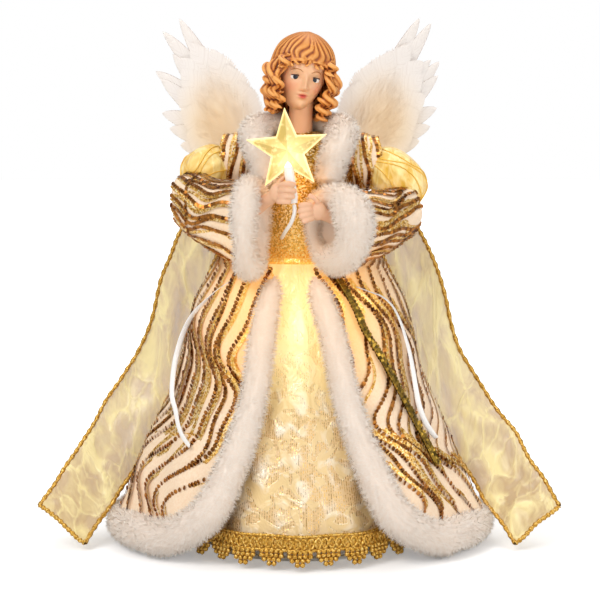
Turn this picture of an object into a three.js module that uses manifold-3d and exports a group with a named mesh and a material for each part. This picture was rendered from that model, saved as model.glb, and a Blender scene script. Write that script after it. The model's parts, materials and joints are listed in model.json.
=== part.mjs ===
// Lighted angel tree topper with swinging feather wings.
// Millimetres, +Z up, the figure faces -Y, and its own right side is -X.
// A hollow cone slips over the tree's leader. It carries a two-part torso that holds a gear motor, and the
// motor's crank moves a rack between two pinions, one on each wing's upright shaft. The clothes, the lights,
// the head and the wired arms hang on the cone and the torso.
import * as THREE from "three";
import { mergeVertices } from "three/addons/utils/BufferGeometryUtils.js";
import Module from "manifold-3d";

const wasm = await Module();
wasm.setup();

// Clearances
const SEAT_GAP = 0.3;
const RUNNING_GAP = 0.15;
const CLOTH_GAP = 0.5;

// Cone that goes over the tree
const CONE_HEIGHT = 178;
const CONE_BASE_R = 58;
const CONE_TOP_R = 19;
const CONE_WALL = 1.6;
const FOOT_FLANGE = 4;
const FOOT_THICKNESS = 2;
const SEAT_FLANGE_R = 28;
const SEAT_FLANGE_THICKNESS = 2;
const LEAD_HOLE_R = 3.6;
const LEAD_HOLE_HEIGHT = 18;
const GLAND_WALL = 1.1;
const GLAND_LIP = 1.6;

// Skirt lights on a clip ring round the cone
const LIGHT_RING_HEIGHT = CONE_HEIGHT - 22;
const LIGHT_RING_THICKNESS = 2.4;
const LIGHT_RING_DEPTH = 7;
const LIGHT_RING_SIDES = 20;
const LIGHT_COUNT = 4;
const LIGHT_R = 2.5;
const LIGHT_RIM = 0.5;
const LIGHT_LENGTH = 7;

// Torso shells, with heights counted from the cone's top
const TORSO_HEIGHT = 90;
const TORSO_WALL = 1.8;
const WAIST_HALF_WIDTH = 27;
const CHEST_HALF_WIDTH = 35;
const WAIST_FRONT = 22;
const WAIST_BACK = 24;
const CHEST_FRONT = 25;
const CHEST_BACK = 29.5;
const BOSS_R = 3.2;
const BOSS_SPAN = 17;
const UPPER_BOSS_SPAN = 22;
const LOWER_BOSS_HEIGHT = 12;
const UPPER_BOSS_HEIGHT = 52;
const SCREW_R = 1.2;
const SCREW_HEAD_R = 2.5;
const SCREW_HEAD_THICKNESS = 1.6;
const SCREW_SEAT_DEPTH = 9;
const SCREW_BITE = 8;

// Wing drive
const PLATE_HEIGHT = 27;
const PLATE_THICKNESS = 2.5;
const TOP_PLATE_HEIGHT = TORSO_HEIGHT - 8;
const TOP_PLATE_THICKNESS = 2;
const PLATE_GAP = 0.7;
const MOTOR_R = 10;
const MOTOR_HEIGHT = 20;
const CAN_R = 8.5;
const GEARBOX_HEIGHT = 12;
const MOTOR_Y = 2;
const MOTOR_SHAFT_R = 1.5;
const MOTOR_SHAFT_LENGTH = 8;
const CRANK_R = 6;
const CRANK_THICKNESS = 2.5;
const CRANK_PIN_R = 1.2;
const CRANK_PIN_HEIGHT = 1.8;
const RACK_THICKNESS = 4;
const RACK_LIFT = 8;
const RACK_HALF_WIDTH = 6;
const RACK_STEM_HALF_WIDTH = 4.9;
const RACK_PIN_GAP = 0.2;
const TOOTH_MODULE = 1;
const TOOTH_ADDENDUM = 0.9;
const TOOTH_DEDENDUM = 1.15;
const TOOTH_BACKLASH = 0.3;
const PINION_TEETH = 14;
const PRESSURE_ANGLE = THREE.MathUtils.degToRad(20);
const SHAFT_R = 2.5;
const SHAFT_Y = 14.5;
const WING_ARM_HEIGHT = 62;
const WING_ARM_TALL = 12;
const WING_ARM_LENGTH = 30;
const WING_ARM_THICKNESS = 3;
const WING_SWEEP = THREE.MathUtils.degToRad(40);
const WING_SWING = THREE.MathUtils.degToRad(28);

// Feather wings, laid out flat: u runs outwards from the hinge and z is counted from the cone's top
const WING_PANEL_THICKNESS = 1.2;
const FEATHER_THICKNESS = 1.2;
const DOWN_THICKNESS = 2.6;
const WING_ROOT_U = 22;
const WING_ROOT_Z = 84;
const LONG_FEATHER_WIDTH = 21;
const SHORT_FEATHER_WIDTH = 19;

// Head
const HEAD_HEIGHT = TORSO_HEIGHT + 48;
const HEAD_HALF_WIDTH = 17.5;
const HEAD_HALF_DEPTH = 19;
const HEAD_HALF_HEIGHT = 24;
const HAIR_DEPTH = 5.5;
const NECK_R = 8;

// Arms, sleeves and cuffs
const ARM_WIRE_R = 1.6;
const ARM_WIRE_HEIGHT = TORSO_HEIGHT - 10;
const FOREARM_R = 4.4;
const SLEEVE_WALL = 1.2;
const SLEEVE_CUFF_GAP = 1.6;
const CUFF_R = 9.5;
const ARM_BORE = 5;
const ARM_HOLE_GAP = 0.9;
const UPPER_SLEEVE_R = 14;

// Lighted star
const STAR_R = 27;
const STAR_INNER_R = 11.2;
const STAR_HALF_DEPTH = 7.5;
const STAR_WALL = 1.3;
const BULB_R = 2.6;
const BULB_LENGTH = 15;
const SOCKET_R = 3.2;
const SOCKET_LENGTH = 23;
const STAR_CABLE_R = 1.3;
const STAR_TILT = THREE.MathUtils.degToRad(4);
const SOCKET_LEAN = THREE.MathUtils.degToRad(9);

// Clothes
const CLOTH = 1.2;
const UNDERSKIRT_HALF_WIDTH = 76;
const UNDERSKIRT_FRONT = 87;
const UNDERSKIRT_BACK = CONE_BASE_R + 5.5;
const UNDERSKIRT_HEM = 13;
const UNDERSKIRT_FOLDS = 13;
const UNDERSKIRT_FOLD_DEPTH = 1.6;
const BODICE_LOW = 12;
const BRAID_HEIGHT = 23;
const BRAID_THICKNESS = 1.8;
const BRAID_SCALLOPS = 22;
const BRAID_SCALLOP = 7;
const BRAID_FLOOR_GAP = 0.6;
const COAT_HALF_WIDTH = 118;
const COAT_FRONT = 86;
const COAT_BACK = UNDERSKIRT_BACK + 19;
const COAT_FOLDS = 9;
const COAT_FOLD_DEPTH = 3.5;
const TRIM_R = 13;
const TRIM_FLOOR_GAP = 2;
const COLLAR_R = 11;
const BELT_R = 2.2;
const BELT_HEIGHT = 15;
const SEQUIN_TAIL_R = 2.5;
const TIE_R = 1.8;
const STOLE_WIDTH = 40;
const STOLE_THICKNESS = 0.8;
const STOLE_WAVE = 1.4;

const TAU = Math.PI * 2;
const v = (x, y, z) => new THREE.Vector3(x, y, z);
const mix = THREE.MathUtils.lerp;

// Routes of the trimmings over the coat, from the floor up
const SEQUIN_TAIL_PATH = [
  v(21, -36.5, 188), v(26, -42, 181), v(35, -48, 166), v(42, -50, 150), v(51, -49, 135), v(59, -47.5, 121),
  v(67, -46, 106), v(74, -44, 92), v(82, -43, 77), v(86, -43, 69), v(90, -43, 61),
];
const LEFT_TIE_PATH = [
  v(36, -40, 177), v(47, -34.5, 172.5), v(53, -31.5, 170), v(60, -29, 164), v(65.5, -27, 154),
  v(69.5, -27.5, 142), v(72.5, -28.5, 131), v(74.5, -30.5, 120), v(76, -33.5, 110), v(78, -36, 99),
  v(82, -37, 88), v(87, -36, 80), v(90, -34.5, 76),
];
const RIGHT_TIE_PATH = [
  v(-43, -30.5, 181), v(-53, -26.5, 174), v(-62, -23.5, 166), v(-68, -20, 160), v(-73, -15, 153),
  v(-77.5, -10, 144), v(-81, -9, 134), v(-83.5, -12, 124), v(-84.5, -20, 114), v(-84.5, -28, 103),
  v(-82, -34, 95), v(-79.5, -43, 86), v(-76, -51.5, 80), v(-71, -59.5, 75),
];

// Place of the arms and the star: heights are counted from the shoulder wires
const atArm = (x, y, z) => v(x, y, ARM_WIRE_HEIGHT + z);
const STAR_CENTRE = atArm(-8, -62, 8);
const SOCKET_TOP = atArm(-7.4, -62, -3);
const STAR_CABLE_PATH = [
  atArm(-3.7, -62, -26.4), atArm(-3.4, -61.6, -31), atArm(-5.5, -58, -38), atArm(-9, -50, -44),
  atArm(-11, -40, -48), atArm(-12, -30, -50),
];

// Materials, one per finish
function finish(color, roughness, metalness = 0) {
  return new THREE.MeshStandardMaterial({ color, roughness, metalness });
}

const paint = {
  plastic: finish(0xe9e4da, 0.55),
  darkPlastic: finish(0x3a3a3c, 0.5),
  steel: finish(0xb9bcc0, 0.35, 1),
  acetal: finish(0xf3f0e8, 0.4),
  skin: finish(0xf0c3a0, 0.5),
  satin: finish(0xf6ead8, 0.55),
  sequins: finish(0xc8963c, 0.35, 0.6),
  brocade: finish(0xf1dfae, 0.5, 0.2),
  braid: finish(0xc49a35, 0.4, 0.7),
  organza: finish(0xe2c46e, 0.45),
  fur: finish(0xf4f0ea, 0.95),
  feather: finish(0xfaf8f4, 0.85),
  ribbon: finish(0xffffff, 0.4),
  clear: finish(0xfff3c0, 0.15),
  light: finish(0xffe08a, 0.3),
};

// Closed body from points and faces, turned so that its faces point out.
function body(points, faces) {
  let volume = 0;
  const normal = v(0, 0, 0);
  for (const [a, b, c] of faces) volume += points[a].dot(normal.crossVectors(points[b], points[c]));
  const order = volume < 0 ? faces.map(([a, b, c]) => [a, c, b]) : faces;
  const geometry = new THREE.BufferGeometry().setFromPoints(points);
  return geometry.setIndex(order.flat());
}

function quad(faces, a, b, c, d) {
  faces.push([a, b, c], [a, c, d]);
}

// Closed body between an outer and an inner grid of points, such as a wall of cloth or a tube with a bore.
function skin(outer, inner, wraps) {
  const rows = outer.length;
  const columns = outer[0].length;
  const points = [...outer.flat(), ...inner.flat()];
  const at = (layer, i, j) => layer * rows * columns + i * columns + (j % columns);
  const faces = [];
  const last = wraps ? columns : columns - 1;
  for (let j = 0; j < last; j++) {
    for (let i = 0; i + 1 < rows; i++) {
      quad(faces, at(0, i, j), at(0, i, j + 1), at(0, i + 1, j + 1), at(0, i + 1, j));
      quad(faces, at(1, i, j), at(1, i + 1, j), at(1, i + 1, j + 1), at(1, i, j + 1));
    }
    quad(faces, at(0, 0, j), at(1, 0, j), at(1, 0, j + 1), at(0, 0, j + 1));
    quad(faces, at(0, rows - 1, j), at(0, rows - 1, j + 1), at(1, rows - 1, j + 1), at(1, rows - 1, j));
  }
  if (!wraps) {
    for (let i = 0; i + 1 < rows; i++) {
      const end = columns - 1;
      quad(faces, at(0, i, 0), at(0, i + 1, 0), at(1, i + 1, 0), at(1, i, 0));
      quad(faces, at(0, i, end), at(1, i, end), at(1, i + 1, end), at(0, i + 1, end));
    }
  }
  return body(points, faces);
}

// Sheet of even thickness about a grid of points.
function sheet(grid, thickness) {
  const rows = grid.length;
  const columns = grid[0].length;
  const shifted = (side) =>
    grid.map((row, i) =>
      row.map((p, j) => {
        const across = row[Math.min(j + 1, columns - 1)].clone().sub(row[Math.max(j - 1, 0)]);
        const along = grid[Math.min(i + 1, rows - 1)][j].clone().sub(grid[Math.max(i - 1, 0)][j]);
        return across.cross(along).setLength((side * thickness) / 2).add(p);
      }),
    );
  return skin(shifted(1), shifted(-1), false);
}

// Closed body through rings of points, with a fan over each end, or joined end to end.
function loft(rings, joined = false) {
  const sides = rings[0].length;
  const points = rings.flat();
  const faces = [];
  const spans = joined ? rings.length : rings.length - 1;
  const at = (i, j) => (i % rings.length) * sides + (j % sides);
  for (let i = 0; i < spans; i++) {
    for (let j = 0; j < sides; j++) quad(faces, at(i, j), at(i, j + 1), at(i + 1, j + 1), at(i + 1, j));
  }
  if (!joined) {
    for (const [ring, turn] of [[0, 1], [rings.length - 1, -1]]) {
      const middle = points.length;
      points.push(rings[ring].reduce((sum, p) => sum.add(p), v(0, 0, 0)).divideScalar(sides));
      for (let j = 0; j < sides; j++) {
        const edge = [at(ring, j + 1), at(ring, j)];
        faces.push(turn > 0 ? [middle, ...edge] : [middle, ...edge.reverse()]);
      }
    }
  }
  return body(points, faces);
}

// Round bar of changing radius along a smooth path, with rounded ends unless it is joined end to end.
function bar(path, radii, steps, sides, joined = false) {
  const curve = new THREE.CatmullRomCurve3(path, joined, "centripetal");
  const frames = curve.computeFrenetFrames(steps, joined);
  const radiusAt = (t) => {
    const place = t * (radii.length - 1);
    const low = Math.min(Math.floor(place), radii.length - 2);
    return mix(radii[low], radii[low + 1], place - low);
  };
  const ringAt = (i, radius) =>
    Array.from({ length: sides }, (_, j) => {
      const turn = (j / sides) * TAU;
      return curve
        .getPoint(i / steps)
        .addScaledVector(frames.normals[i], radius * Math.cos(turn))
        .addScaledVector(frames.binormals[i], radius * Math.sin(turn));
    });
  const rings = [];
  for (let i = 0; i < (joined ? steps : steps + 1); i++) rings.push(ringAt(i, radiusAt(i / steps)));
  if (joined) return loft(rings, true);
  const cap = (i, side) => {
    const radius = radiusAt(i / steps);
    return ringAt(i, radius * 0.6).map((p) => p.addScaledVector(frames.tangents[i], side * radius * 0.45));
  };
  return loft([cap(0, -1), ...rings, cap(steps, 1)]);
}

// Thin cord along a smooth path.
function cord(path, radius, steps, sides = 8) {
  const section = new THREE.Shape(
    Array.from({ length: sides }, (_, j) => {
      const turn = (j / sides) * TAU;
      return new THREE.Vector2(radius * Math.cos(turn), radius * Math.sin(turn));
    }),
  );
  const extrudePath = new THREE.CatmullRomCurve3(path, false, "centripetal");
  return new THREE.ExtrudeGeometry(section, { steps, extrudePath });
}

function turned(profile, segments) {
  const geometry = new THREE.LatheGeometry(profile.map(([r, z]) => new THREE.Vector2(r, z)), segments);
  return geometry.rotateX(Math.PI / 2);
}

function cylinder(radius, low, high, segments = 20) {
  return turned([[0, low], [radius, low], [radius, high], [0, high]], segments);
}

// Flat plate of one thickness, from a shape whose curves are drawn in a few segments.
function flat(shape, thickness, curveSegments) {
  return new THREE.ExtrudeGeometry(shape, { depth: thickness, bevelEnabled: false, curveSegments });
}

function plate(outline, thickness) {
  return flat(new THREE.Shape(outline), thickness, 8);
}

function block(low, high) {
  const size = high.clone().sub(low);
  const middle = low.clone().add(high).divideScalar(2);
  return new THREE.BoxGeometry(size.x, size.y, size.z).translate(middle.x, middle.y, middle.z);
}

function ball(centre, rx, ry, rz, detail = 12) {
  const unit = new THREE.SphereGeometry(1, detail, Math.round(detail * 0.7));
  return unit.scale(rx, ry, rz).translate(centre.x, centre.y, centre.z);
}

// Booleans
function toSolid(geometry) {
  const bare = geometry.clone();
  for (const name of Object.keys(bare.attributes)) if (name !== "position") bare.deleteAttribute(name);
  const merged = mergeVertices(bare, 1e-4);
  return new wasm.Manifold(
    new wasm.Mesh({
      numProp: 3,
      vertProperties: new Float32Array(merged.attributes.position.array),
      triVerts: new Uint32Array(merged.index.array),
    }),
  );
}

function toGeometry(solid) {
  const mesh = solid.getMesh();
  const geometry = new THREE.BufferGeometry();
  geometry.setAttribute("position", new THREE.BufferAttribute(new Float32Array(mesh.vertProperties), 3));
  return geometry.setIndex(new THREE.BufferAttribute(new Uint32Array(mesh.triVerts), 1));
}

function cut(geometry, ...tools) {
  return toGeometry(tools.reduce((solid, tool) => solid.subtract(toSolid(tool)), toSolid(geometry)));
}

function join(...pieces) {
  return toGeometry(pieces.slice(1).reduce((solid, piece) => solid.add(toSolid(piece)), toSolid(pieces[0])));
}

function piece(parent, name, geometry, material) {
  const mesh = new THREE.Mesh(geometry, material);
  mesh.name = name;
  parent.add(mesh);
  return mesh;
}

// Value read off a table of [place, value] rows.
function table(rows, place) {
  const next = rows.findIndex(([at]) => at >= place);
  if (next <= 0) return rows[next === 0 ? 0 : rows.length - 1][1];
  const [[a, low], [b, high]] = [rows[next - 1], rows[next]];
  return mix(low, high, (place - a) / (b - a));
}

// Point on an egg-shaped level: angle 0 is the front, and a quarter turn is the figure's left, at +X.
function eggPoint(angle, egg, z, grow = 0) {
  const depth = Math.cos(angle) > 0 ? egg.front : egg.back;
  return v((egg.half + grow) * Math.sin(angle), -(depth + grow) * Math.cos(angle), z);
}

function angles(from, to, count) {
  return Array.from({ length: count + 1 }, (_, i) => mix(from, to, i / count));
}

const topper = new THREE.Group();
const upper = new THREE.Group();
upper.position.z = CONE_HEIGHT;
topper.add(upper);

// Cone, its foot flange, the seat flange for the torso and the hole for the supply lead
const coneR = (z) => mix(CONE_BASE_R, CONE_TOP_R, z / CONE_HEIGHT);

function leadHole(radius, from, to) {
  return cylinder(radius, from, to, 10).rotateX(-Math.PI / 2).translate(0, 0, LEAD_HOLE_HEIGHT);
}

function treeCone() {
  const underTop = CONE_HEIGHT - SEAT_FLANGE_THICKNESS;
  const shell = turned(
    [
      [0, underTop],
      [coneR(underTop) - CONE_WALL, underTop],
      [CONE_BASE_R - CONE_WALL, 0],
      [CONE_BASE_R + FOOT_FLANGE, 0],
      [CONE_BASE_R + FOOT_FLANGE, FOOT_THICKNESS],
      [coneR(FOOT_THICKNESS), FOOT_THICKNESS],
      [coneR(underTop), underTop],
      [SEAT_FLANGE_R, underTop],
      [SEAT_FLANGE_R, CONE_HEIGHT],
      [0, CONE_HEIGHT],
    ],
    32,
  );
  return cut(shell, leadHole(LEAD_HOLE_R, 0, CONE_BASE_R * 2));
}

function leadGland() {
  const wallMiddle = coneR(LEAD_HOLE_HEIGHT) - CONE_WALL / 2;
  const half = CONE_WALL * 1.6;
  const outer = LEAD_HOLE_R - SEAT_GAP;
  const lipInside = wallMiddle - half - SEAT_GAP;
  const lipOutside = wallMiddle + half + SEAT_GAP;
  const bore = outer - GLAND_WALL;
  const profile = [
    [bore, lipInside - GLAND_LIP],
    [outer + GLAND_LIP, lipInside - GLAND_LIP],
    [outer + GLAND_LIP, lipInside],
    [outer, lipInside],
    [outer, lipOutside],
    [outer + GLAND_LIP, lipOutside],
    [outer + GLAND_LIP, lipOutside + GLAND_LIP],
    [bore, lipOutside + GLAND_LIP],
    [bore, lipInside - GLAND_LIP],
  ];
  return turned(profile, 10).rotateX(-Math.PI / 2).translate(0, 0, LEAD_HOLE_HEIGHT);
}

piece(topper, "tree_cone", treeCone(), paint.plastic);
piece(topper, "lead_gland", leadGland(), paint.darkPlastic);

// Clip ring with the skirt lights
function lightRing() {
  const inner = coneR(LIGHT_RING_HEIGHT - LIGHT_RING_DEPTH / 2) + SEAT_GAP;
  const low = LIGHT_RING_HEIGHT - LIGHT_RING_DEPTH / 2;
  const high = LIGHT_RING_HEIGHT + LIGHT_RING_DEPTH / 2;
  const outer = inner + LIGHT_RING_THICKNESS;
  const upperInner = coneR(high) + SEAT_GAP;
  const profile = [[inner, low], [outer, low], [outer, high], [upperInner, high], [inner, low]];
  return turned(profile, LIGHT_RING_SIDES);
}

const ringFace = coneR(LIGHT_RING_HEIGHT - LIGHT_RING_DEPTH / 2) + SEAT_GAP + LIGHT_RING_THICKNESS;

function skirtLight() {
  const from = ringFace + SEAT_GAP;
  const dome = from + LIGHT_LENGTH;
  const profile = [
    [0, from],
    [LIGHT_R + LIGHT_RIM, from],
    [LIGHT_R + LIGHT_RIM, from + 1],
    [LIGHT_R, from + 1],
    [LIGHT_R, dome - LIGHT_R],
    [LIGHT_R * 0.7, dome - LIGHT_R * 0.3],
    [0, dome],
  ];
  return turned(profile, 8).rotateX(Math.PI / 2);
}

piece(topper, "light_ring", lightRing(), paint.plastic);
for (let i = 0; i < LIGHT_COUNT; i++) {
  const light = piece(topper, `skirt_light_${i + 1}`, skirtLight(), paint.light);
  light.position.z = LIGHT_RING_HEIGHT;
  light.rotation.z = ((i + 0.5) / LIGHT_COUNT) * TAU + Math.PI / LIGHT_COUNT;
}

// Torso levels: half-width and half-depths at a height above the cone
const CHEST_HEIGHT = TORSO_HEIGHT * 0.7;
const SHOULDER_HEIGHT = TORSO_HEIGHT * 0.89;
const halfRows = [[0, WAIST_HALF_WIDTH], [22, WAIST_HALF_WIDTH], [CHEST_HEIGHT, CHEST_HALF_WIDTH - 1],
  [SHOULDER_HEIGHT, CHEST_HALF_WIDTH], [TORSO_HEIGHT, CHEST_HALF_WIDTH - 5]];
const frontRows = [[0, WAIST_FRONT], [22, WAIST_FRONT], [CHEST_HEIGHT, CHEST_FRONT],
  [SHOULDER_HEIGHT, CHEST_FRONT - 3], [TORSO_HEIGHT, CHEST_FRONT - 8]];
const backRows = [[0, WAIST_BACK], [22, WAIST_BACK + 3], [38, CHEST_BACK], [CHEST_HEIGHT, CHEST_BACK],
  [SHOULDER_HEIGHT, CHEST_BACK - 2.5], [TORSO_HEIGHT, CHEST_BACK - 9]];
const torsoEgg = (z) => ({ half: table(halfRows, z), front: table(frontRows, z), back: table(backRows, z) });
const torsoLevels = [SEAT_GAP, 22, 38, CHEST_HEIGHT, SHOULDER_HEIGHT, TORSO_HEIGHT];

function torsoHalf(from, to) {
  const around = angles(from, to, 10);
  const wall = (grow) => torsoLevels.map((z) => around.map((a) => eggPoint(a, torsoEgg(z), z, grow)));
  return skin(wall(0), wall(-TORSO_WALL), false);
}

const bossSeats = [
  [-BOSS_SPAN, LOWER_BOSS_HEIGHT],
  [BOSS_SPAN, LOWER_BOSS_HEIGHT],
  [-UPPER_BOSS_SPAN, UPPER_BOSS_HEIGHT],
  [UPPER_BOSS_SPAN, UPPER_BOSS_HEIGHT],
];

// Depth at which a boss has sunk into the wall with its whole outer side, in front (-1) or behind (1).
function bossDepth(x, z, side) {
  const egg = torsoEgg(z);
  const depth = side < 0 ? egg.front : egg.back;
  const outermost = (Math.abs(x) + BOSS_R) / (egg.half - TORSO_WALL);
  return (depth - TORSO_WALL) * Math.sqrt(1 - outermost ** 2) + TORSO_WALL / 3;
}

function alongY(radius, from, to, x, z, segments = 8) {
  return cylinder(radius, from, to, segments).rotateX(-Math.PI / 2).translate(x, 0, z);
}

function armHoles() {
  const across = cylinder(ARM_WIRE_R + ARM_HOLE_GAP, -CHEST_HALF_WIDTH * 2, CHEST_HALF_WIDTH * 2, 8);
  return across.rotateY(Math.PI / 2).translate(0, 0, ARM_WIRE_HEIGHT);
}

// Window in the shell and the coat's back for one wing's arm.
function wingWindow(side, margin) {
  const low = v(side > 0 ? 4 : -70, 5, WING_ARM_HEIGHT - margin);
  const high = v(side > 0 ? 70 : -4, 70, WING_ARM_HEIGHT + WING_ARM_TALL + margin);
  return block(low, high);
}

function torsoFront() {
  const seam = SEAT_GAP / 2 / WAIST_FRONT;
  const bosses = bossSeats.map(([x, z]) => alongY(BOSS_R, -bossDepth(x, z, -1), -SEAT_GAP / 2, x, z));
  const holes = bossSeats.map(([x, z]) => alongY(SCREW_R + RUNNING_GAP, -SCREW_BITE - SEAT_GAP, 1, x, z));
  return cut(join(torsoHalf(-Math.PI / 2 + seam, Math.PI / 2 - seam), ...bosses), ...holes, armHoles());
}

function torsoRear() {
  const seam = SEAT_GAP / 2 / WAIST_BACK;
  const bosses = bossSeats.map(([x, z]) => alongY(BOSS_R, SEAT_GAP / 2, bossDepth(x, z, 1), x, z));
  const shanks = bossSeats.map(([x, z]) => alongY(SCREW_R + RUNNING_GAP, -1, SCREW_SEAT_DEPTH + 1, x, z));
  const seatR = SCREW_HEAD_R + SEAT_GAP;
  const seats = bossSeats.map(([x, z]) => alongY(seatR, SCREW_SEAT_DEPTH, CHEST_BACK * 2, x, z));
  const shell = join(torsoHalf(Math.PI / 2 + seam, Math.PI * 1.5 - seam), ...bosses);
  return cut(shell, ...shanks, ...seats, wingWindow(1, 3), wingWindow(-1, 3), armHoles());
}

function torsoScrew(x, z) {
  const headLow = SCREW_SEAT_DEPTH + SEAT_GAP;
  const profile = [[0, -SCREW_BITE], [SCREW_R, -SCREW_BITE], [SCREW_R, headLow], [SCREW_HEAD_R, headLow],
    [SCREW_HEAD_R, headLow + SCREW_HEAD_THICKNESS], [0, headLow + SCREW_HEAD_THICKNESS]];
  return turned(profile, 8).rotateX(-Math.PI / 2).translate(x, 0, z);
}

piece(upper, "torso_front_shell", torsoFront(), paint.plastic);
piece(upper, "torso_rear_shell", torsoRear(), paint.plastic);
bossSeats.forEach(([x, z], i) => piece(upper, `torso_screw_${i + 1}`, torsoScrew(x, z), paint.steel));

// Plates that carry the drive
const PITCH_R = (TOOTH_MODULE * PINION_TEETH) / 2;
const SHAFT_X = PITCH_R + RACK_HALF_WIDTH;
const RACK_STROKE = PITCH_R * WING_SWING;
const RACK_LOW = PLATE_HEIGHT + RACK_LIFT;

function torsoPlate(low, thickness) {
  const inset = -TORSO_WALL - PLATE_GAP;
  const outline = (z) => angles(0, TAU, 28).slice(0, -1).map((a) => eggPoint(a, torsoEgg(z), 0, inset));
  const [under, over] = [outline(low), outline(low + thickness)];
  const inside = under.map((p, i) => (p.length() < over[i].length() ? p : over[i]));
  return plate(inside.map((p) => new THREE.Vector2(p.x, p.y)), thickness).translate(0, 0, low);
}

function shaftHoles() {
  return [-SHAFT_X, SHAFT_X].map((x) => {
    const hole = cylinder(SHAFT_R + RUNNING_GAP, 0, TORSO_HEIGHT, 16);
    return hole.translate(x, SHAFT_Y, 0);
  });
}

function drivePlate() {
  const top = PLATE_HEIGHT + PLATE_THICKNESS;
  const guide = block(v(-4, SHAFT_Y - 6, top - 0.5), v(4, SHAFT_Y + 5, RACK_LOW - RUNNING_GAP));
  const motorHole = cylinder(MOTOR_SHAFT_R + SEAT_GAP, 0, TORSO_HEIGHT, 12).translate(0, MOTOR_Y, 0);
  return cut(join(torsoPlate(PLATE_HEIGHT, PLATE_THICKNESS), guide), motorHole, ...shaftHoles());
}

function topPlate() {
  return cut(torsoPlate(TOP_PLATE_HEIGHT, TOP_PLATE_THICKNESS), ...shaftHoles());
}

piece(upper, "drive_plate", drivePlate(), paint.acetal);
piece(upper, "top_plate", topPlate(), paint.acetal);

// Motor, crank and rack
function gearMotor() {
  const top = PLATE_HEIGHT - SEAT_GAP;
  const low = top - MOTOR_HEIGHT;
  const gearboxLow = top - GEARBOX_HEIGHT;
  const can = [[0, low], [CAN_R, low], [CAN_R, gearboxLow]];
  const gearbox = [[MOTOR_R, gearboxLow], [MOTOR_R, top], [0, top]];
  const bore = cylinder(MOTOR_SHAFT_R + RUNNING_GAP, top - MOTOR_SHAFT_LENGTH - 1, top + 5, 12);
  return cut(turned([...can, ...gearbox], 18), bore).translate(0, MOTOR_Y, 0);
}

function crank() {
  const low = PLATE_HEIGHT + PLATE_THICKNESS + SEAT_GAP;
  const top = low + CRANK_THICKNESS;
  const shaftLow = PLATE_HEIGHT - MOTOR_SHAFT_LENGTH;
  const profile = [
    [0, shaftLow],
    [MOTOR_SHAFT_R, shaftLow],
    [MOTOR_SHAFT_R, low],
    [CRANK_R, low],
    [CRANK_R, top],
    [0, top],
  ];
  const pin = cylinder(CRANK_PIN_R, top - 0.5, top + CRANK_PIN_HEIGHT, 10).translate(0, -RACK_STROKE / 2, 0);
  return join(turned(profile, 20), pin).translate(0, MOTOR_Y, 0);
}

// Rack outline: a tooth is centred on the pinions' line at rest.
function rack() {
  const pitch = Math.PI * TOOTH_MODULE;
  const slope = Math.tan(PRESSURE_ANGLE);
  const halfTooth = pitch / 4 - TOOTH_BACKLASH / 4;
  const teeth = [-2, -1, 0, 1, 2];
  const side = [];
  for (const i of teeth) {
    const middle = SHAFT_Y + i * pitch;
    side.push([RACK_HALF_WIDTH - TOOTH_DEDENDUM, middle - halfTooth - TOOTH_DEDENDUM * slope]);
    side.push([RACK_HALF_WIDTH + TOOTH_ADDENDUM, middle - halfTooth + TOOTH_ADDENDUM * slope]);
    side.push([RACK_HALF_WIDTH + TOOTH_ADDENDUM, middle + halfTooth - TOOTH_ADDENDUM * slope]);
    side.push([RACK_HALF_WIDTH - TOOTH_DEDENDUM, middle + halfTooth + TOOTH_DEDENDUM * slope]);
  }
  const front = MOTOR_Y - RACK_STROKE / 2 - 4;
  const shoulder = SHAFT_Y - 2.5 * pitch;
  const right = [[RACK_STEM_HALF_WIDTH, front], [RACK_STEM_HALF_WIDTH, shoulder - 0.3], ...side];
  const left = right.map(([x, y]) => [-x, y]).reverse();
  const outline = [...right, ...left].map(([x, y]) => new THREE.Vector2(x, y));
  const blank = plate(outline, RACK_THICKNESS).translate(0, 0, RACK_LOW);
  const slotHalf = CRANK_PIN_R + RACK_PIN_GAP;
  const slotY = MOTOR_Y - RACK_STROKE / 2;
  const slotX = RACK_STROKE / 2 + slotHalf;
  return cut(blank, block(v(-slotX, slotY - slotHalf, 0), v(slotX, slotY + slotHalf, TORSO_HEIGHT)));
}

piece(upper, "gear_motor", gearMotor(), paint.steel);
piece(upper, "crank", crank(), paint.acetal);
piece(upper, "wing_rack", rack(), paint.acetal);

// Wing shaft: pinion sector, upright shaft and arm in one moulding. The pinion's gap faces the rack at rest.
function pinionSector() {
  const pitchAngle = TAU / PINION_TEETH;
  const baseR = PITCH_R * Math.cos(PRESSURE_ANGLE);
  const involute = (r) => {
    const a = Math.acos(Math.min(1, baseR / r));
    return Math.tan(a) - a;
  };
  const tipR = PITCH_R + TOOTH_ADDENDUM;
  const rootR = PITCH_R - TOOTH_DEDENDUM;
  const halfAtPitch = pitchAngle / 4 - TOOTH_BACKLASH / 4 / PITCH_R;
  const half = (r) => halfAtPitch + involute(PITCH_R) - involute(r);
  const flank = [[rootR, half(baseR)], [baseR, half(baseR)], [PITCH_R, halfAtPitch], [tipR, half(tipR)]];
  const points = [];
  const polar = (r, a) => points.push(new THREE.Vector2(r * Math.cos(a), r * Math.sin(a)));
  for (let i = -3; i < 3; i++) {
    const middle = Math.PI + (i + 0.5) * pitchAngle;
    flank.forEach(([r, h]) => polar(r, middle - h));
    [...flank].reverse().forEach(([r, h]) => polar(r, middle + h));
  }
  angles(Math.PI + 3.1 * pitchAngle, 3 * Math.PI - 3.1 * pitchAngle, 7).forEach((a) => polar(SHAFT_R + 2, a));
  return plate(points, RACK_THICKNESS);
}

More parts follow.
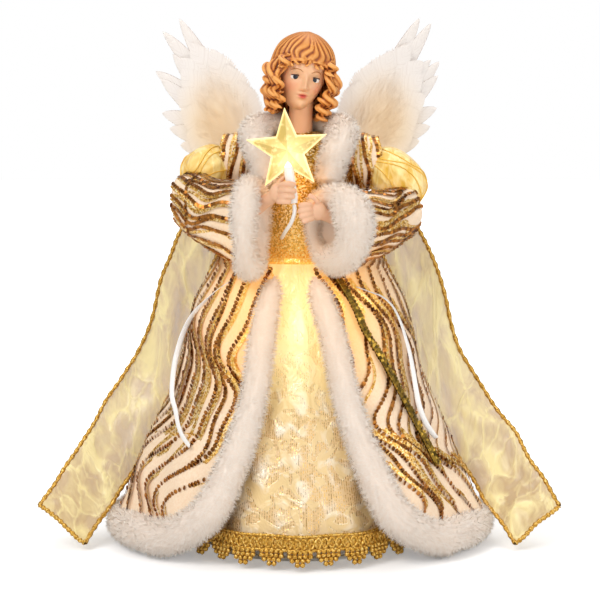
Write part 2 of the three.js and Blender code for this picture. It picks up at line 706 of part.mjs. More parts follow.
function wingShaft() {
  const top = TOP_PLATE_HEIGHT + TOP_PLATE_THICKNESS;
  const shaft = cylinder(SHAFT_R, PLATE_HEIGHT + SEAT_GAP, top - SEAT_GAP, 16);
  const half = WING_ARM_THICKNESS / 2;
  const arm = block(v(0, -half, WING_ARM_HEIGHT), v(WING_ARM_LENGTH, half, WING_ARM_HEIGHT + WING_ARM_TALL));
  const pinion = pinionSector().translate(0, 0, RACK_LOW);
  return join(shaft, pinion, arm.rotateZ(WING_SWEEP));
}

// One feather: a leaf outline from its quill at the root, pointing along an angle above the horizon.
function feather(root, angle, length, width) {
  const outline = new THREE.Shape();
  outline.moveTo(0, -width * 0.12);
  outline.bezierCurveTo(length * 0.3, -width * 0.62, length * 0.8, -width * 0.62, length, width * 0.04);
  outline.bezierCurveTo(length * 0.86, width * 0.42, length * 0.4, width * 0.62, 0, width * 0.12);
  return flat(outline, FEATHER_THICKNESS, 3).rotateZ(angle).translate(root[0], root[1], 0);
}

const wingRoot = [WING_ROOT_U, WING_ROOT_Z];

// Each feather's angle above the horizon, in degrees, and its length
const longFeathers = [[53, 113], [43, 119], [33, 112], [23, 108], [13, 98], [3, 84], [-9, 68], [-22, 52]];
const shortFeathers = [
  [78, 52], [68, 66], [58, 80], [47, 84], [36, 82], [25, 77], [13, 68], [0, 56], [-14, 42],
];

function fan(rows, width) {
  const radians = THREE.MathUtils.degToRad;
  return join(...rows.map(([angle, length]) => feather(wingRoot, radians(angle), length, width)));
}

function wingPanel() {
  const outline = new THREE.Shape();
  outline.moveTo(WING_ROOT_U - 4, WING_ARM_HEIGHT - 4);
  outline.lineTo(WING_ROOT_U + 20, WING_ARM_HEIGHT - 2);
  outline.quadraticCurveTo(WING_ROOT_U + 48, WING_ROOT_Z + 4, WING_ROOT_U + 46, WING_ROOT_Z + 38);
  outline.quadraticCurveTo(WING_ROOT_U + 10, WING_ROOT_Z + 34, WING_ROOT_U - 4, WING_ROOT_Z + 12);
  return flat(outline, WING_PANEL_THICKNESS, 6);
}

function wingDown() {
  const outline = new THREE.Shape();
  outline.moveTo(WING_ROOT_U - 2, WING_ARM_HEIGHT - 2);
  outline.quadraticCurveTo(WING_ROOT_U + 24, WING_ARM_HEIGHT + 2, WING_ROOT_U + 34, WING_ROOT_Z + 12);
  outline.quadraticCurveTo(WING_ROOT_U + 30, WING_ROOT_Z + 38, WING_ROOT_U + 12, WING_ROOT_Z + 36);
  outline.quadraticCurveTo(WING_ROOT_U - 4, WING_ROOT_Z + 24, WING_ROOT_U - 2, WING_ARM_HEIGHT - 2);
  return flat(outline, DOWN_THICKNESS, 6);
}

// Layers of one wing from its arm forwards: panel, long feathers, short feathers, down.
function wing(side, name) {
  const hinge = new THREE.Group();
  hinge.position.set(side * SHAFT_X, SHAFT_Y, 0);
  hinge.scale.x = side;
  upper.add(hinge);
  piece(hinge, `${name}_wing_shaft`, wingShaft(), paint.acetal);
  const leaf = new THREE.Group();
  leaf.rotation.z = WING_SWEEP;
  hinge.add(leaf);
  let depth = WING_ARM_THICKNESS / 2 + SEAT_GAP;
  const layer = (kind, geometry, thickness, material) => {
    piece(leaf, `${name}_wing_${kind}`, geometry.rotateX(Math.PI / 2).translate(0, -depth, 0), material);
    depth += thickness + SEAT_GAP;
  };
  layer("panel", wingPanel(), WING_PANEL_THICKNESS, paint.satin);
  layer("long_feathers", fan(longFeathers, LONG_FEATHER_WIDTH), FEATHER_THICKNESS, paint.feather);
  layer("short_feathers", fan(shortFeathers, SHORT_FEATHER_WIDTH), FEATHER_THICKNESS, paint.feather);
  layer("down", wingDown(), DOWN_THICKNESS, paint.feather);
}

wing(1, "left");
wing(-1, "right");

// Head, neck and shoulder plate in one casting, with the hair moulded on
function headBust() {
  const centre = v(1.5, -5, HEAD_HEIGHT);
  const low = TORSO_HEIGHT + SEAT_GAP;
  const profile = [[0, low], [24, low], [23, low + 2], [11, low + 6], [NECK_R, low + 11], [0, low + 11]];
  const shoulders = turned(profile, 16);
  const neck = cylinder(NECK_R, low + 8, HEAD_HEIGHT - 10, 12).translate(0, -3, 0);
  const skull = ball(centre, HEAD_HALF_WIDTH, HEAD_HALF_DEPTH, HEAD_HALF_HEIGHT, 11);
  const [hairWidth, hairDepth] = [HEAD_HALF_WIDTH + HAIR_DEPTH, HEAD_HALF_DEPTH + HAIR_DEPTH - 2];
  const hair = ball(centre.clone().add(v(0, 4, 3)), hairWidth, hairDepth, HEAD_HALF_HEIGHT - 0.5, 11);
  const curls = [];
  for (const side of [-1, 1]) {
    curls.push([side * 9, 20, -16, 6], [side * 21, 2, -4, 6.5]);
    curls.push([side * 21, 7, -13, 6.5], [side * 17, 3, -19, 6]);
  }
  const locks = curls.map(([x, y, z, r]) => ball(centre.clone().add(v(x, y, z)), r, r, r, 6));
  const nose = ball(centre.clone().add(v(0, -HEAD_HALF_DEPTH, -5)), 2, 2.4, 3.4, 6);
  return join(shoulders.scale(1, 0.6, 1), neck, skull, hair, nose, ...locks);
}

piece(upper, "head_and_hair", headBust(), paint.skin);

// Arms: each side's places
const arms = {
  right: {
    side: -1,
    puff: { from: atArm(-50, -3, 5), to: atArm(-79, -7, -18), across: 20, depth: 16.5 },
    elbow: atArm(-71, -17, -32),
    cuff: { centre: atArm(-31, -50, -41), tall: 25, wide: 17, wideAxis: v(0.2, 0.98, 0).normalize() },
    palm: { centre: atArm(-14, -60.5, -19), size: v(9, 6.2, 8) },
  },
  left: {
    side: 1,
    puff: { from: atArm(52, -3, 3), to: atArm(76, -7, -31), across: 21, depth: 16.5 },
    elbow: atArm(66, -17, -43),
    cuff: { centre: atArm(25, -51, -42), tall: 20.5, wide: 17, wideAxis: v(0.66, -0.75, 0).normalize() },
    palm: { centre: atArm(12, -58, -31), size: v(9.5, 4.6, 7.2) },
  },
};

// Tube with a bore round a straight axis, its outside given by a function of the share along and the turn.
function barrel(from, to, rows, sides, outside, bore) {
  const axis = to.clone().sub(from).normalize();
  const out = v(0, 1, 0).cross(axis).normalize();
  const depth = axis.clone().cross(out);
  const wall = (size) =>
    angles(0, 1, rows).map((t) =>
      angles(0, TAU, sides).slice(0, -1).map((a) => {
        const [w, d] = size(t, a);
        const middle = from.clone().lerp(to, t);
        return middle.addScaledVector(out, w * Math.cos(a)).addScaledVector(depth, d * Math.sin(a));
      }),
    );
  return skin(wall(outside), wall(() => [bore, bore]), true);
}

function upperSleeve(arm, grow = 0) {
  const from = v(arm.side * (CHEST_HALF_WIDTH + 6), -2, ARM_WIRE_HEIGHT - 1);
  const to = v(arm.side * (CHEST_HALF_WIDTH + 13), -2, ARM_WIRE_HEIGHT + 1);
  const outside = (t, a) => {
    const r = UPPER_SLEEVE_R * (1.1 - 0.46 * t) + Math.cos(6 * a);
    return [r + grow, r * 0.86 + grow];
  };
  return barrel(from, to, 2, 18, outside, ARM_BORE - grow);
}

function sleevePuff(arm) {
  const { from, to, across, depth } = arm.puff;
  const outside = (t, a) => {
    const swell = 0.4 + 0.6 * Math.sin(Math.PI * t) ** 0.8;
    const crumple = 1 + 0.06 * Math.cos(5 * a + 4 * t);
    return [across * swell * crumple, depth * swell * crumple];
  };
  return cut(barrel(from, to, 5, 18, outside, ARM_BORE), upperSleeve(arm, CLOTH_GAP));
}

// Bell sleeve from the elbow to its cuff, with the forearm inside.
function lowerSleeve(arm) {
  const { centre, tall, wide, wideAxis } = arm.cuff;
  const start = arm.elbow;
  const end = centre.clone().lerp(start, (CUFF_R + SLEEVE_CUFF_GAP) / centre.distanceTo(start));
  const forward = end.clone().sub(start).normalize();
  const startAxis = v(0, 0, 1).cross(forward).normalize();
  const startWide = startAxis.dot(wideAxis) < 0 ? startAxis.negate() : startAxis;
  const section = (t, wall) => {
    const open = Math.sqrt(t);
    const high = mix(11, tall + CUFF_R * 0.4, open) - wall;
    const broad = mix(9, wide + CUFF_R * 0.2, open) - wall;
    const across = startWide.clone().lerp(wideAxis, t * t).normalize();
    const middle = start.clone().lerp(end, t).add(v(0, 0, -3 * Math.sin(Math.PI * t)));
    return angles(0, TAU, 18).slice(0, -1).map((a) => {
      const fold = 1 + 0.05 * Math.cos(5 * a) * t;
      const rise = v(0, 0, high * fold * Math.sin(a));
      return middle.clone().addScaledVector(across, broad * fold * Math.cos(a)).add(rise);
    });
  };
  const steps = angles(0, 1, 4);
  return skin(steps.map((t) => section(t, 0)), steps.map((t) => section(t, SLEEVE_WALL)), true);
}

// The forearm runs through its cuff to the palm, and the wire reaches its inner end.
function forearmPath(arm) {
  const { cuff, palm } = arm;
  const through = cuff.centre.clone().add(v(0, 0, 6));
  const start = arm.elbow.clone().lerp(through, 0.45);
  const wrist = through.clone().lerp(palm.centre, 0.5).add(v(0, 1.5, -2));
  return [start, through, wrist, palm.centre];
}

function wristAndPalm(arm, grow) {
  const { centre, size } = arm.palm;
  const palm = ball(centre, size.x + grow, size.y + grow, size.z + grow, 8);
  const radii = [FOREARM_R, FOREARM_R, FOREARM_R * 0.86, FOREARM_R * 0.86].map((r) => r + grow);
  return join(bar(forearmPath(arm), radii, 5, 6), palm);
}

function furCuff(arm) {
  const { centre, tall, wide, wideAxis } = arm.cuff;
  const path = angles(0, TAU, 16).slice(0, -1).map((a) =>
    centre.clone().addScaledVector(wideAxis, wide * Math.cos(a)).add(v(0, 0, tall * Math.sin(a))),
  );
  return cut(bar(path, [CUFF_R, CUFF_R], 20, 8, true), wristAndPalm(arm, CLOTH_GAP));
}

function armWire(arm) {
  const [end, next] = forearmPath(arm);
  const reach = end.clone().sub(next).setLength(FOREARM_R * 0.45 + SEAT_GAP).add(end);
  const shoulder = v(arm.side * (CHEST_HALF_WIDTH + 8), 0, ARM_WIRE_HEIGHT);
  const inside = v(arm.side * (CHEST_HALF_WIDTH - 12), 0, ARM_WIRE_HEIGHT);
  return cord([inside, shoulder, arm.puff.from, arm.puff.to, arm.elbow, reach], ARM_WIRE_R, 24, 6);
}

// Star and its socket
function starHalf(side) {
  const outline = (shrink, level) =>
    Array.from({ length: 10 }, (_, i) => {
      const r = (i % 2 ? STAR_INNER_R : STAR_R) - shrink * (i % 2 ? 1.6 : 3.2);
      const a = (i / 10) * TAU + Math.PI / 2 + STAR_TILT;
      return v(r * Math.cos(a), side * level, r * Math.sin(a));
    });
  const rim = SEAT_GAP / 2;
  const outerPeak = v(0, side * STAR_HALF_DEPTH, 0);
  const innerPeak = v(0, side * (STAR_HALF_DEPTH - STAR_WALL * 1.6), 0);
  const points = [...outline(0, rim), ...outline(STAR_WALL, rim), outerPeak, innerPeak];
  const faces = [];
  for (let i = 0; i < 10; i++) {
    const next = (i + 1) % 10;
    faces.push([20, i, next], [21, 10 + next, 10 + i]);
    quad(faces, i, 10 + i, 10 + next, next);
  }
  return body(points, faces).translate(STAR_CENTRE.x, STAR_CENTRE.y, STAR_CENTRE.z);
}

// Turned piece on the socket's leaning axis, counted up from the socket's top.
function onStem(profile, segments) {
  return turned(profile, segments).rotateY(-SOCKET_LEAN).translate(SOCKET_TOP.x, SOCKET_TOP.y, SOCKET_TOP.z);
}

// Room for the socket and the bulb.
function stemRoom() {
  const [socketR, bulbR] = [SOCKET_R + SEAT_GAP, BULB_R + SEAT_GAP];
  const [low, top] = [-SOCKET_LENGTH - 2, BULB_LENGTH + 1];
  const step = [[socketR, SEAT_GAP], [bulbR, SEAT_GAP]];
  return onStem([[0, low], [socketR, low], ...step, [bulbR, top], [0, top]], 10);
}

function starSocket() {
  const low = -SOCKET_LENGTH;
  return onStem([[0, low], [SOCKET_R * 0.72, low], [SOCKET_R, low + 4], [SOCKET_R, 0], [0, 0]], 10);
}

function starBulb() {
  const low = SEAT_GAP;
  const top = low + BULB_LENGTH;
  const dome = [[BULB_R, top - BULB_R], [BULB_R * 0.7, top - BULB_R * 0.3], [0, top]];
  return onStem([[0, low], [BULB_R, low], ...dome], 10);
}

piece(upper, "star_front_shell", cut(starHalf(-1), stemRoom()), paint.clear);
piece(upper, "star_back_shell", cut(starHalf(1), stemRoom()), paint.clear);
piece(upper, "star_bulb", starBulb(), paint.light);
piece(upper, "star_socket", starSocket(), paint.ribbon);
piece(upper, "star_cable", cord(STAR_CABLE_PATH, STAR_CABLE_R, 9), paint.ribbon);

// Hands: the right one closes round the star's socket, the left one lies open below it.
function rightHand(arm) {
  const { centre } = arm.palm;
  const from = (x, y, z) => centre.clone().add(v(x, y, z));
  const fingers = [5.4, 1.8, -1.8, -5.4].map((z) => {
    const path = [from(-3, -4, z), from(4, -8, z + 0.4), from(12, -8, z + 0.8), from(15, -5, z + 0.8)];
    return bar(path, [2, 2, 1.8, 1.5], 4, 5);
  });
  const thumb = bar([from(-2, 3, 4), from(4, 5.4, 7.4), from(9, 4.6, 7.8)], [2.4, 2.2, 1.7], 3, 5);
  return cut(join(wristAndPalm(arm, 0), ...fingers, thumb), stemRoom());
}

function leftHand(arm) {
  const { centre } = arm.palm;
  const from = (x, y, z) => centre.clone().add(v(x, y, z));
  const fingers = [5.2, 1.8, -1.6, -5].map((z, i) => {
    const tip = from(-14.5 + Math.abs(i - 1.4), 0.5, z);
    return bar([from(-3, -0.5, z), from(-9, -1, z + 0.2), tip], [1.9, 1.9, 1.4], 2, 5);
  });
  const thumb = bar([from(1, -2, 5), from(-3, -3, 9.5), from(-7, -3, 11)], [2.3, 2, 1.5], 2, 5);
  return join(wristAndPalm(arm, 0), ...fingers, thumb);
}

piece(upper, "right_hand", rightHand(arms.right), paint.skin);
piece(upper, "left_hand", leftHand(arms.left), paint.skin);
for (const [name, arm] of Object.entries(arms)) {
  piece(upper, `${name}_arm_wire`, armWire(arm), paint.steel);
  piece(upper, `${name}_upper_sleeve`, upperSleeve(arm), paint.sequins);
  piece(upper, `${name}_sleeve_puff`, sleevePuff(arm), paint.organza);
  piece(upper, `${name}_lower_sleeve`, lowerSleeve(arm), paint.sequins);
  piece(upper, `${name}_fur_cuff`, furCuff(arm), paint.fur);
}

// Bodice over the front of the torso
function bodice() {
  const around = angles(-0.6 * Math.PI, 0.6 * Math.PI, 12);
  const levels = [BODICE_LOW, 22, 38, CHEST_HEIGHT, SHOULDER_HEIGHT, TORSO_HEIGHT - 2];
  const wall = (grow) => levels.map((z) => around.map((a) => eggPoint(a, torsoEgg(z), z, grow)));
  return cut(skin(wall(CLOTH_GAP + CLOTH), wall(CLOTH_GAP), false), armHoles());
}

piece(upper, "bodice", bodice(), paint.sequins);

// Underskirt: a bell from the torso's waist to its hem, in soft folds that deepen downwards
const UNDERSKIRT_TOP = CONE_HEIGHT + BODICE_LOW - 2;
const underskirtShare = [[0, 0], [0.25, 0.22], [0.53, 0.46], [0.82, 0.69], [1, 1]];

function underskirtEgg(z) {
  const share = table(underskirtShare, (z - UNDERSKIRT_HEM) / (UNDERSKIRT_TOP - UNDERSKIRT_HEM));
  const waist = torsoEgg(BODICE_LOW - 2);
  const grow = CLOTH_GAP * 1.6 + CLOTH / 2;
  return {
    half: mix(UNDERSKIRT_HALF_WIDTH, waist.half + grow, share),
    front: mix(UNDERSKIRT_FRONT, waist.front + grow, share),
    back: mix(UNDERSKIRT_BACK, waist.back + grow, share),
  };
}

function underskirt() {
  const columns = UNDERSKIRT_FOLDS * 3;
  const levels = [0, 0.25, 0.53, 0.82, 1].map((t) => mix(UNDERSKIRT_HEM, UNDERSKIRT_TOP, t));
  const wall = (side) =>
    levels.map((z) =>
      angles(0, TAU, columns).slice(0, -1).map((a) => {
        const fold = UNDERSKIRT_FOLD_DEPTH * (1 - z / UNDERSKIRT_TOP) * Math.cos(UNDERSKIRT_FOLDS * a);
        return eggPoint(a, underskirtEgg(z), z, fold + (side * CLOTH) / 2);
      }),
    );
  return skin(wall(1), wall(-1), true);
}

// Scalloped braid sewn round the underskirt's hem
function hemBraid() {
  const columns = BRAID_SCALLOPS * 3;
  const top = BRAID_FLOOR_GAP + BRAID_HEIGHT;
  const wall = (grow) =>
    [0, 1].map((t) =>
      angles(0, TAU, columns).slice(0, -1).map((a) => {
        const edge = BRAID_FLOOR_GAP + BRAID_SCALLOP * (1 - Math.abs(Math.sin((BRAID_SCALLOPS * a) / 2)));
        const z = mix(edge, top, t);
        const out = UNDERSKIRT_FOLD_DEPTH + CLOTH / 2 + CLOTH_GAP + grow;
        return eggPoint(a, underskirtEgg(UNDERSKIRT_HEM), z, out);
      }),
    );
  return skin(wall(BRAID_THICKNESS), wall(0), true);
}

piece(topper, "underskirt", underskirt(), paint.brocade);
piece(topper, "hem_braid", hemBraid(), paint.braid);

// Fur strip down both front edges of the coat and round its hem, as one sewn length
const TRIM_HEIGHT = TRIM_R + TRIM_FLOOR_GAP;
const trimRight = [
  v(-17, -36.5, 183), v(-20, -47, 168), v(-24, -55, 148), v(-30, -62.5, 106), v(-43, -72, 66),
  v(-60, -77, 34),
];
const trimLeft = [
  v(10, -37.5, 183), v(14, -49, 168), v(21, -56, 147), v(30, -62.5, 106), v(44, -72, 66), v(61, -77, 34),
];
const trimRadii = [0.54, 0.65, 0.71, 0.75, 0.85, 0.95].map((share) => share * TRIM_R);
const hemEgg = { half: COAT_HALF_WIDTH, front: COAT_FRONT, back: COAT_BACK };

function coatTrim() {
  const round = angles(-0.68, -TAU + 0.68, 14).map((a) => eggPoint(a, hemEgg, TRIM_HEIGHT));
  const path = [...trimRight, ...round, ...[...trimLeft].reverse()];
  const radii = [...trimRadii, ...round.map(() => TRIM_R), ...[...trimRadii].reverse()];
  return bar(path, radii, 54, 7);
}

// Coat: level outlines from the hem to the waist, then close over the back of the torso
const COAT_LOW = TRIM_HEIGHT + TRIM_R + CLOTH_GAP * 2;
const COAT_WAIST = CONE_HEIGHT + 14;
const coatShare = [
  [0, 1], [0.15, 0.88], [0.34, 0.72], [0.51, 0.575], [0.71, 0.475], [0.84, 0.38], [0.95, 0.195], [1, 0],
];

function coatEgg(z) {
  if (z > COAT_WAIST) {
    const egg = torsoEgg(z - CONE_HEIGHT);
    const close = Math.min(1, (z - COAT_WAIST) / 16);
    const grow = mix(8, CLOTH + CLOTH_GAP * 3 + CLOTH / 2, close);
    return { half: egg.half + grow, front: egg.front + grow, back: egg.back + grow };
  }
  const share = table(coatShare, (z - COAT_LOW) / (COAT_WAIST - COAT_LOW));
  const waist = torsoEgg(14);
  return {
    half: mix(waist.half + 8, COAT_HALF_WIDTH, share),
    front: mix(waist.front + 8, COAT_FRONT, share),
    back: mix(waist.back + 8, COAT_BACK, share),
  };
}

function coatPoint(a, z, grow = 0) {
  const below = Math.min(1, Math.max(0, (COAT_WAIST - z) / (COAT_WAIST - COAT_LOW)));
  const fold = COAT_FOLD_DEPTH * below * Math.cos(COAT_FOLDS * a);
  return eggPoint(a, coatEgg(z), z, fold + grow);
}

// Angle at which the coat clears the fur of its front edge at one height.
function coatEdge(z, side) {
  const rows = side < 0 ? trimRight : trimLeft;
  const read = (value) => table(rows.map((p, i) => [p.z, value(p, i)]).reverse(), z);
  const fur = v(read((p) => p.x), read((p) => p.y), z);
  const clear = read((_, i) => trimRadii[i]) * 1.22 + CLOTH_GAP + CLOTH;
  const egg = coatEgg(z);
  let a = Math.atan2(Math.abs(fur.x) / egg.half, Math.abs(fur.y) / egg.front);
  while (a < 2 && coatPoint(side * a, z).distanceTo(fur) < clear) a += 0.01;
  return a;
}

function coat() {
  const skirtLevels = [COAT_LOW, 54, 84, 124, 162, 183, COAT_WAIST];
  const backLevels = [8, 16, 24, TORSO_HEIGHT - 28].map((up) => COAT_WAIST + up);
  const columns = COAT_FOLDS * 3;
  const row = (z, grow) => {
    const rise = Math.min(1, Math.max(0, (z - COAT_WAIST) / 16));
    const [start, end] = [1, -1].map((side) => mix(coatEdge(Math.min(z, COAT_WAIST), side), 1.3, rise));
    return angles(start, TAU - end, columns).map((a) => coatPoint(a, z, grow));
  };
  const wall = (grow) => [...skirtLevels, ...backLevels].map((z) => row(z, grow));
  const cloth = skin(wall(CLOTH / 2), wall(-CLOTH / 2), false);
  const windows = [-1, 1].map((side) => wingWindow(side, 5).translate(0, 0, CONE_HEIGHT));
  return cut(cloth, ...windows, armHoles().translate(0, 0, CONE_HEIGHT));
}

piece(topper, "coat_fur_trim", coatTrim(), paint.fur);
piece(topper, "coat", coat(), paint.satin);

// Fur collar round the neck, with its lapels
function furCollar() {
  const atNeck = (x, y, z) => v(x, y, TORSO_HEIGHT + z);
  const side = [atNeck(26, -27, -10), atNeck(30, -27, -1), atNeck(29, -12, 10), atNeck(19, 9, 12.5)];
  const path = [...side, atNeck(0, 17.5, 13), ...side.map((p) => v(-p.x, p.y, p.z)).reverse()];
  const radii = [0.73, 0.96, 0.95, 0.91, 0.91, 0.91, 0.95, 0.96, 0.73].map((share) => share * COLLAR_R);
  return bar(path, radii, 20, 8);
}

// Belt over the coat at the waist
function belt() {
  const egg = coatEgg(COAT_WAIST);
  const path = angles(0, TAU, 16).slice(0, -1).map((a) => eggPoint(a, egg, BELT_HEIGHT, BELT_R + CLOTH));
  return bar(path, [BELT_R, BELT_R], 24, 5, true);
}

piece(upper, "fur_collar", furCollar(), paint.fur);
piece(upper, "belt", belt(), paint.sequins);

// Stole: one wired ribbon from the end of its left tail up behind the left puff, across the back and down.
// Each row is a point of the middle line, the direction across the ribbon and the share of its width there.
const stoleSide = [
  [v(161, -18, 20), v(0.64, 0.05, 0.74), 1],
  [v(142, 4, 45), v(0.7, 0.05, 0.68), 1],
  [v(123, 21, 72), v(0.8, 0.08, 0.52), 1],
  [v(97, 33, 118), v(0.95, 0.1, 0.26), 1],
  [v(79, 31, 176), v(1, 0.1, 0.14), 0.8],
  [v(70, 25, 207), v(0.86, 0, 0.5), 0.62],
  [v(58, 21, 222), v(0.4, 0, 0.9), 0.5],
  [v(36, 28, 219), v(0.05, 0.1, 1), 0.45],
];

function stole() {
  const mirrored = ([p, side, share]) => [v(-p.x, p.y, p.z), v(-side.x, side.y, side.z), share];
  const middleRow = [v(0, 35.7, 215), v(0, 0, 1), 0.45];
  const rows = [...stoleSide, middleRow, ...[...stoleSide].reverse().map(mirrored)];
  const spine = new THREE.CatmullRomCurve3(rows.map(([p]) => p), false, "centripetal");
  const lean = new THREE.CatmullRomCurve3(rows.map(([, side]) => side), false, "centripetal");
  const steps = (rows.length - 1) * 2;
  const grid = angles(0, 1, steps).map((t) => {
    const side = lean.getPoint(t).normalize();
    const out = side.clone().cross(spine.getTangent(t)).normalize();
    const width = STOLE_WIDTH * table(rows.map(([, , share], i) => [i / (rows.length - 1), share]), t);
    return angles(-0.5, 0.5, 4).map((share, j) => {
      const wave = STOLE_WAVE * Math.cos(t * 40 + j * 1.6);
      return spine.getPoint(t).addScaledVector(side, width * share).addScaledVector(out, wave);
    });
  });
  return sheet(grid, STOLE_THICKNESS);
}

piece(topper, "stole", stole(), paint.organza);

// Loose trimmings that hang from the belt over the coat
piece(topper, "sequin_tail", cord(SEQUIN_TAIL_PATH, SEQUIN_TAIL_R, 15), paint.sequins);
piece(topper, "left_tie", cord(LEFT_TIE_PATH, TIE_R, 17), paint.ribbon);
piece(topper, "right_tie", cord(RIGHT_TIE_PATH, TIE_R, 19), paint.ribbon);

export default topper;
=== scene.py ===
"""Lighted angel tree topper: cloth, fur, feathers and doll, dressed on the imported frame.

Places and sizes are in millimetres above the floor. The figure faces -Y and its own left is +X.
"""

import json
import math
import random

import bmesh
import bpy
from mathutils import Euler, Matrix, Vector, noise
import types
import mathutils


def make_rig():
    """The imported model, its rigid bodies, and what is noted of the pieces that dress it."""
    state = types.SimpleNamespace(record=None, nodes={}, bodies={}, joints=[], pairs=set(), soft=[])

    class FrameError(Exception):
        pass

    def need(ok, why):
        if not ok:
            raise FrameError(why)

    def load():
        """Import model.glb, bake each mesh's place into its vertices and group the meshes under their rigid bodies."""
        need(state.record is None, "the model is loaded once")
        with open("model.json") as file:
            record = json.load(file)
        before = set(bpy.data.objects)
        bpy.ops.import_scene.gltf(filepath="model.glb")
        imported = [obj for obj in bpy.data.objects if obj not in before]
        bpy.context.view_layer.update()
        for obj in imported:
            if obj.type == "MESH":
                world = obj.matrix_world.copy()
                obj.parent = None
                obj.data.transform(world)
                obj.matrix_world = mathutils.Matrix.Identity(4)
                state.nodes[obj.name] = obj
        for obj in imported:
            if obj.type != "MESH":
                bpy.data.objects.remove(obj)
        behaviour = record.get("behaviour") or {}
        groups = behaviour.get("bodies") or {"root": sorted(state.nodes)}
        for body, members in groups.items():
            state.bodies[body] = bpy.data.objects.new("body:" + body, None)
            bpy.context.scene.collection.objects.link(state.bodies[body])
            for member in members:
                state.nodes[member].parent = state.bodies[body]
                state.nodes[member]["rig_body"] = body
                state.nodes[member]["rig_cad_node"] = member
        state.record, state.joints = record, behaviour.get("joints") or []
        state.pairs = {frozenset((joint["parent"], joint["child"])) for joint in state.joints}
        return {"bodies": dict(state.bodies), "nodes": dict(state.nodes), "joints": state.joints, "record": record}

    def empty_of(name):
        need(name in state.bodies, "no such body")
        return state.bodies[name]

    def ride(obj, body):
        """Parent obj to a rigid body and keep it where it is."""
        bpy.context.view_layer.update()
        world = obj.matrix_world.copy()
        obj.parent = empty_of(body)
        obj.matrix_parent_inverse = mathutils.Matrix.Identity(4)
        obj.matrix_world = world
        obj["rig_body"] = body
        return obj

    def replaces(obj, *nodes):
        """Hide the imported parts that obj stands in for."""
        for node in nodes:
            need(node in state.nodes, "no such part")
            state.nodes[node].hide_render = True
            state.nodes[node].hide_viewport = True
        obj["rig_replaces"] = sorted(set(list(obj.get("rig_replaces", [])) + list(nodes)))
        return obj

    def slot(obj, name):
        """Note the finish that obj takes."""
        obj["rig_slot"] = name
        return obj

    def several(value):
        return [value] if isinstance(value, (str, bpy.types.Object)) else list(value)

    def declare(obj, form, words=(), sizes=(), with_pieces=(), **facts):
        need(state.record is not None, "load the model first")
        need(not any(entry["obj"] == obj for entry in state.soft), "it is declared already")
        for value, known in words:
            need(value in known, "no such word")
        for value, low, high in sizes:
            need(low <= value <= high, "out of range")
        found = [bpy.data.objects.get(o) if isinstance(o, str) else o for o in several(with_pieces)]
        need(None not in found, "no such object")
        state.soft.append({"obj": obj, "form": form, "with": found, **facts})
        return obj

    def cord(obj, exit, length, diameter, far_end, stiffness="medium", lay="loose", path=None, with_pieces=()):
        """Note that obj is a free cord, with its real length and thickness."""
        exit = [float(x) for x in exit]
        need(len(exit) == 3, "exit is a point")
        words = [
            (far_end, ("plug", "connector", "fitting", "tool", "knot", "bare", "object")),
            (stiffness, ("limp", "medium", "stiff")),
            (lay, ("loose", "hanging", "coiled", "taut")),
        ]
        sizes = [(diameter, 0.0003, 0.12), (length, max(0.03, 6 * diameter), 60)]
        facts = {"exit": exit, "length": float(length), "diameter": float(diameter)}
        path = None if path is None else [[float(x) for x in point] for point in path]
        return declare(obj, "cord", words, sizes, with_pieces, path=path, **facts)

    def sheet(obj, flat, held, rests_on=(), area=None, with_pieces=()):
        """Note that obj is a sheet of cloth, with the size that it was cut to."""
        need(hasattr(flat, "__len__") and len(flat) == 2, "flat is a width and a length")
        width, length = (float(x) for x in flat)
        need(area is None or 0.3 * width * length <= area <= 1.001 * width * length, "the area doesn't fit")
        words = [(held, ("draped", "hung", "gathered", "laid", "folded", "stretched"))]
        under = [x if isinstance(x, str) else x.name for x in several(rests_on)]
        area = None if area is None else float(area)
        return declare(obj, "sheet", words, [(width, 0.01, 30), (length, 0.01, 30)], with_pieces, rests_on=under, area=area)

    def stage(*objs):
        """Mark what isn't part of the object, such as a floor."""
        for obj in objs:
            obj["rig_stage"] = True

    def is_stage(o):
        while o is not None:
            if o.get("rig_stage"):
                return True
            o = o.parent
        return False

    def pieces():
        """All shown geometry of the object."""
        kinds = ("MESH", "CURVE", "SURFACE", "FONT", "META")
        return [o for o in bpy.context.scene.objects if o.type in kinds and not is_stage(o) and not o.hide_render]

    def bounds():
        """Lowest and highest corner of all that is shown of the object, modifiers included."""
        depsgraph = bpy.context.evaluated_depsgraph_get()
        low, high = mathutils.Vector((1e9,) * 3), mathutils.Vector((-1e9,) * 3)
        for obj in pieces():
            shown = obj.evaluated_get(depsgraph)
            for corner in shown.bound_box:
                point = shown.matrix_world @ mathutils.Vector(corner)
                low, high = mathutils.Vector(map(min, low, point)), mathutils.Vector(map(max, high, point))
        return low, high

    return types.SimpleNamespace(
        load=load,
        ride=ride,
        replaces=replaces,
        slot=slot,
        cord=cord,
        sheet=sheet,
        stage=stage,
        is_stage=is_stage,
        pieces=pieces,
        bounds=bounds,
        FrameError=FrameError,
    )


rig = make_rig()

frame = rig.load()
CAD_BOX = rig.bounds()
MM = 0.001
TURN = math.tau
UP = Vector((0, 0, 1))
chance = random.Random(14)
# Points of a piece that lie closer than this become one
WELD = 1e-3

# Camera, as far away as makes the photograph's perspective
CAMERA_AWAY = 1.25
CAMERA_ELEVATION = math.radians(6)
CAMERA_TARGET = Vector((0, 0, 0.164))
CAMERA_LENS = 111.6

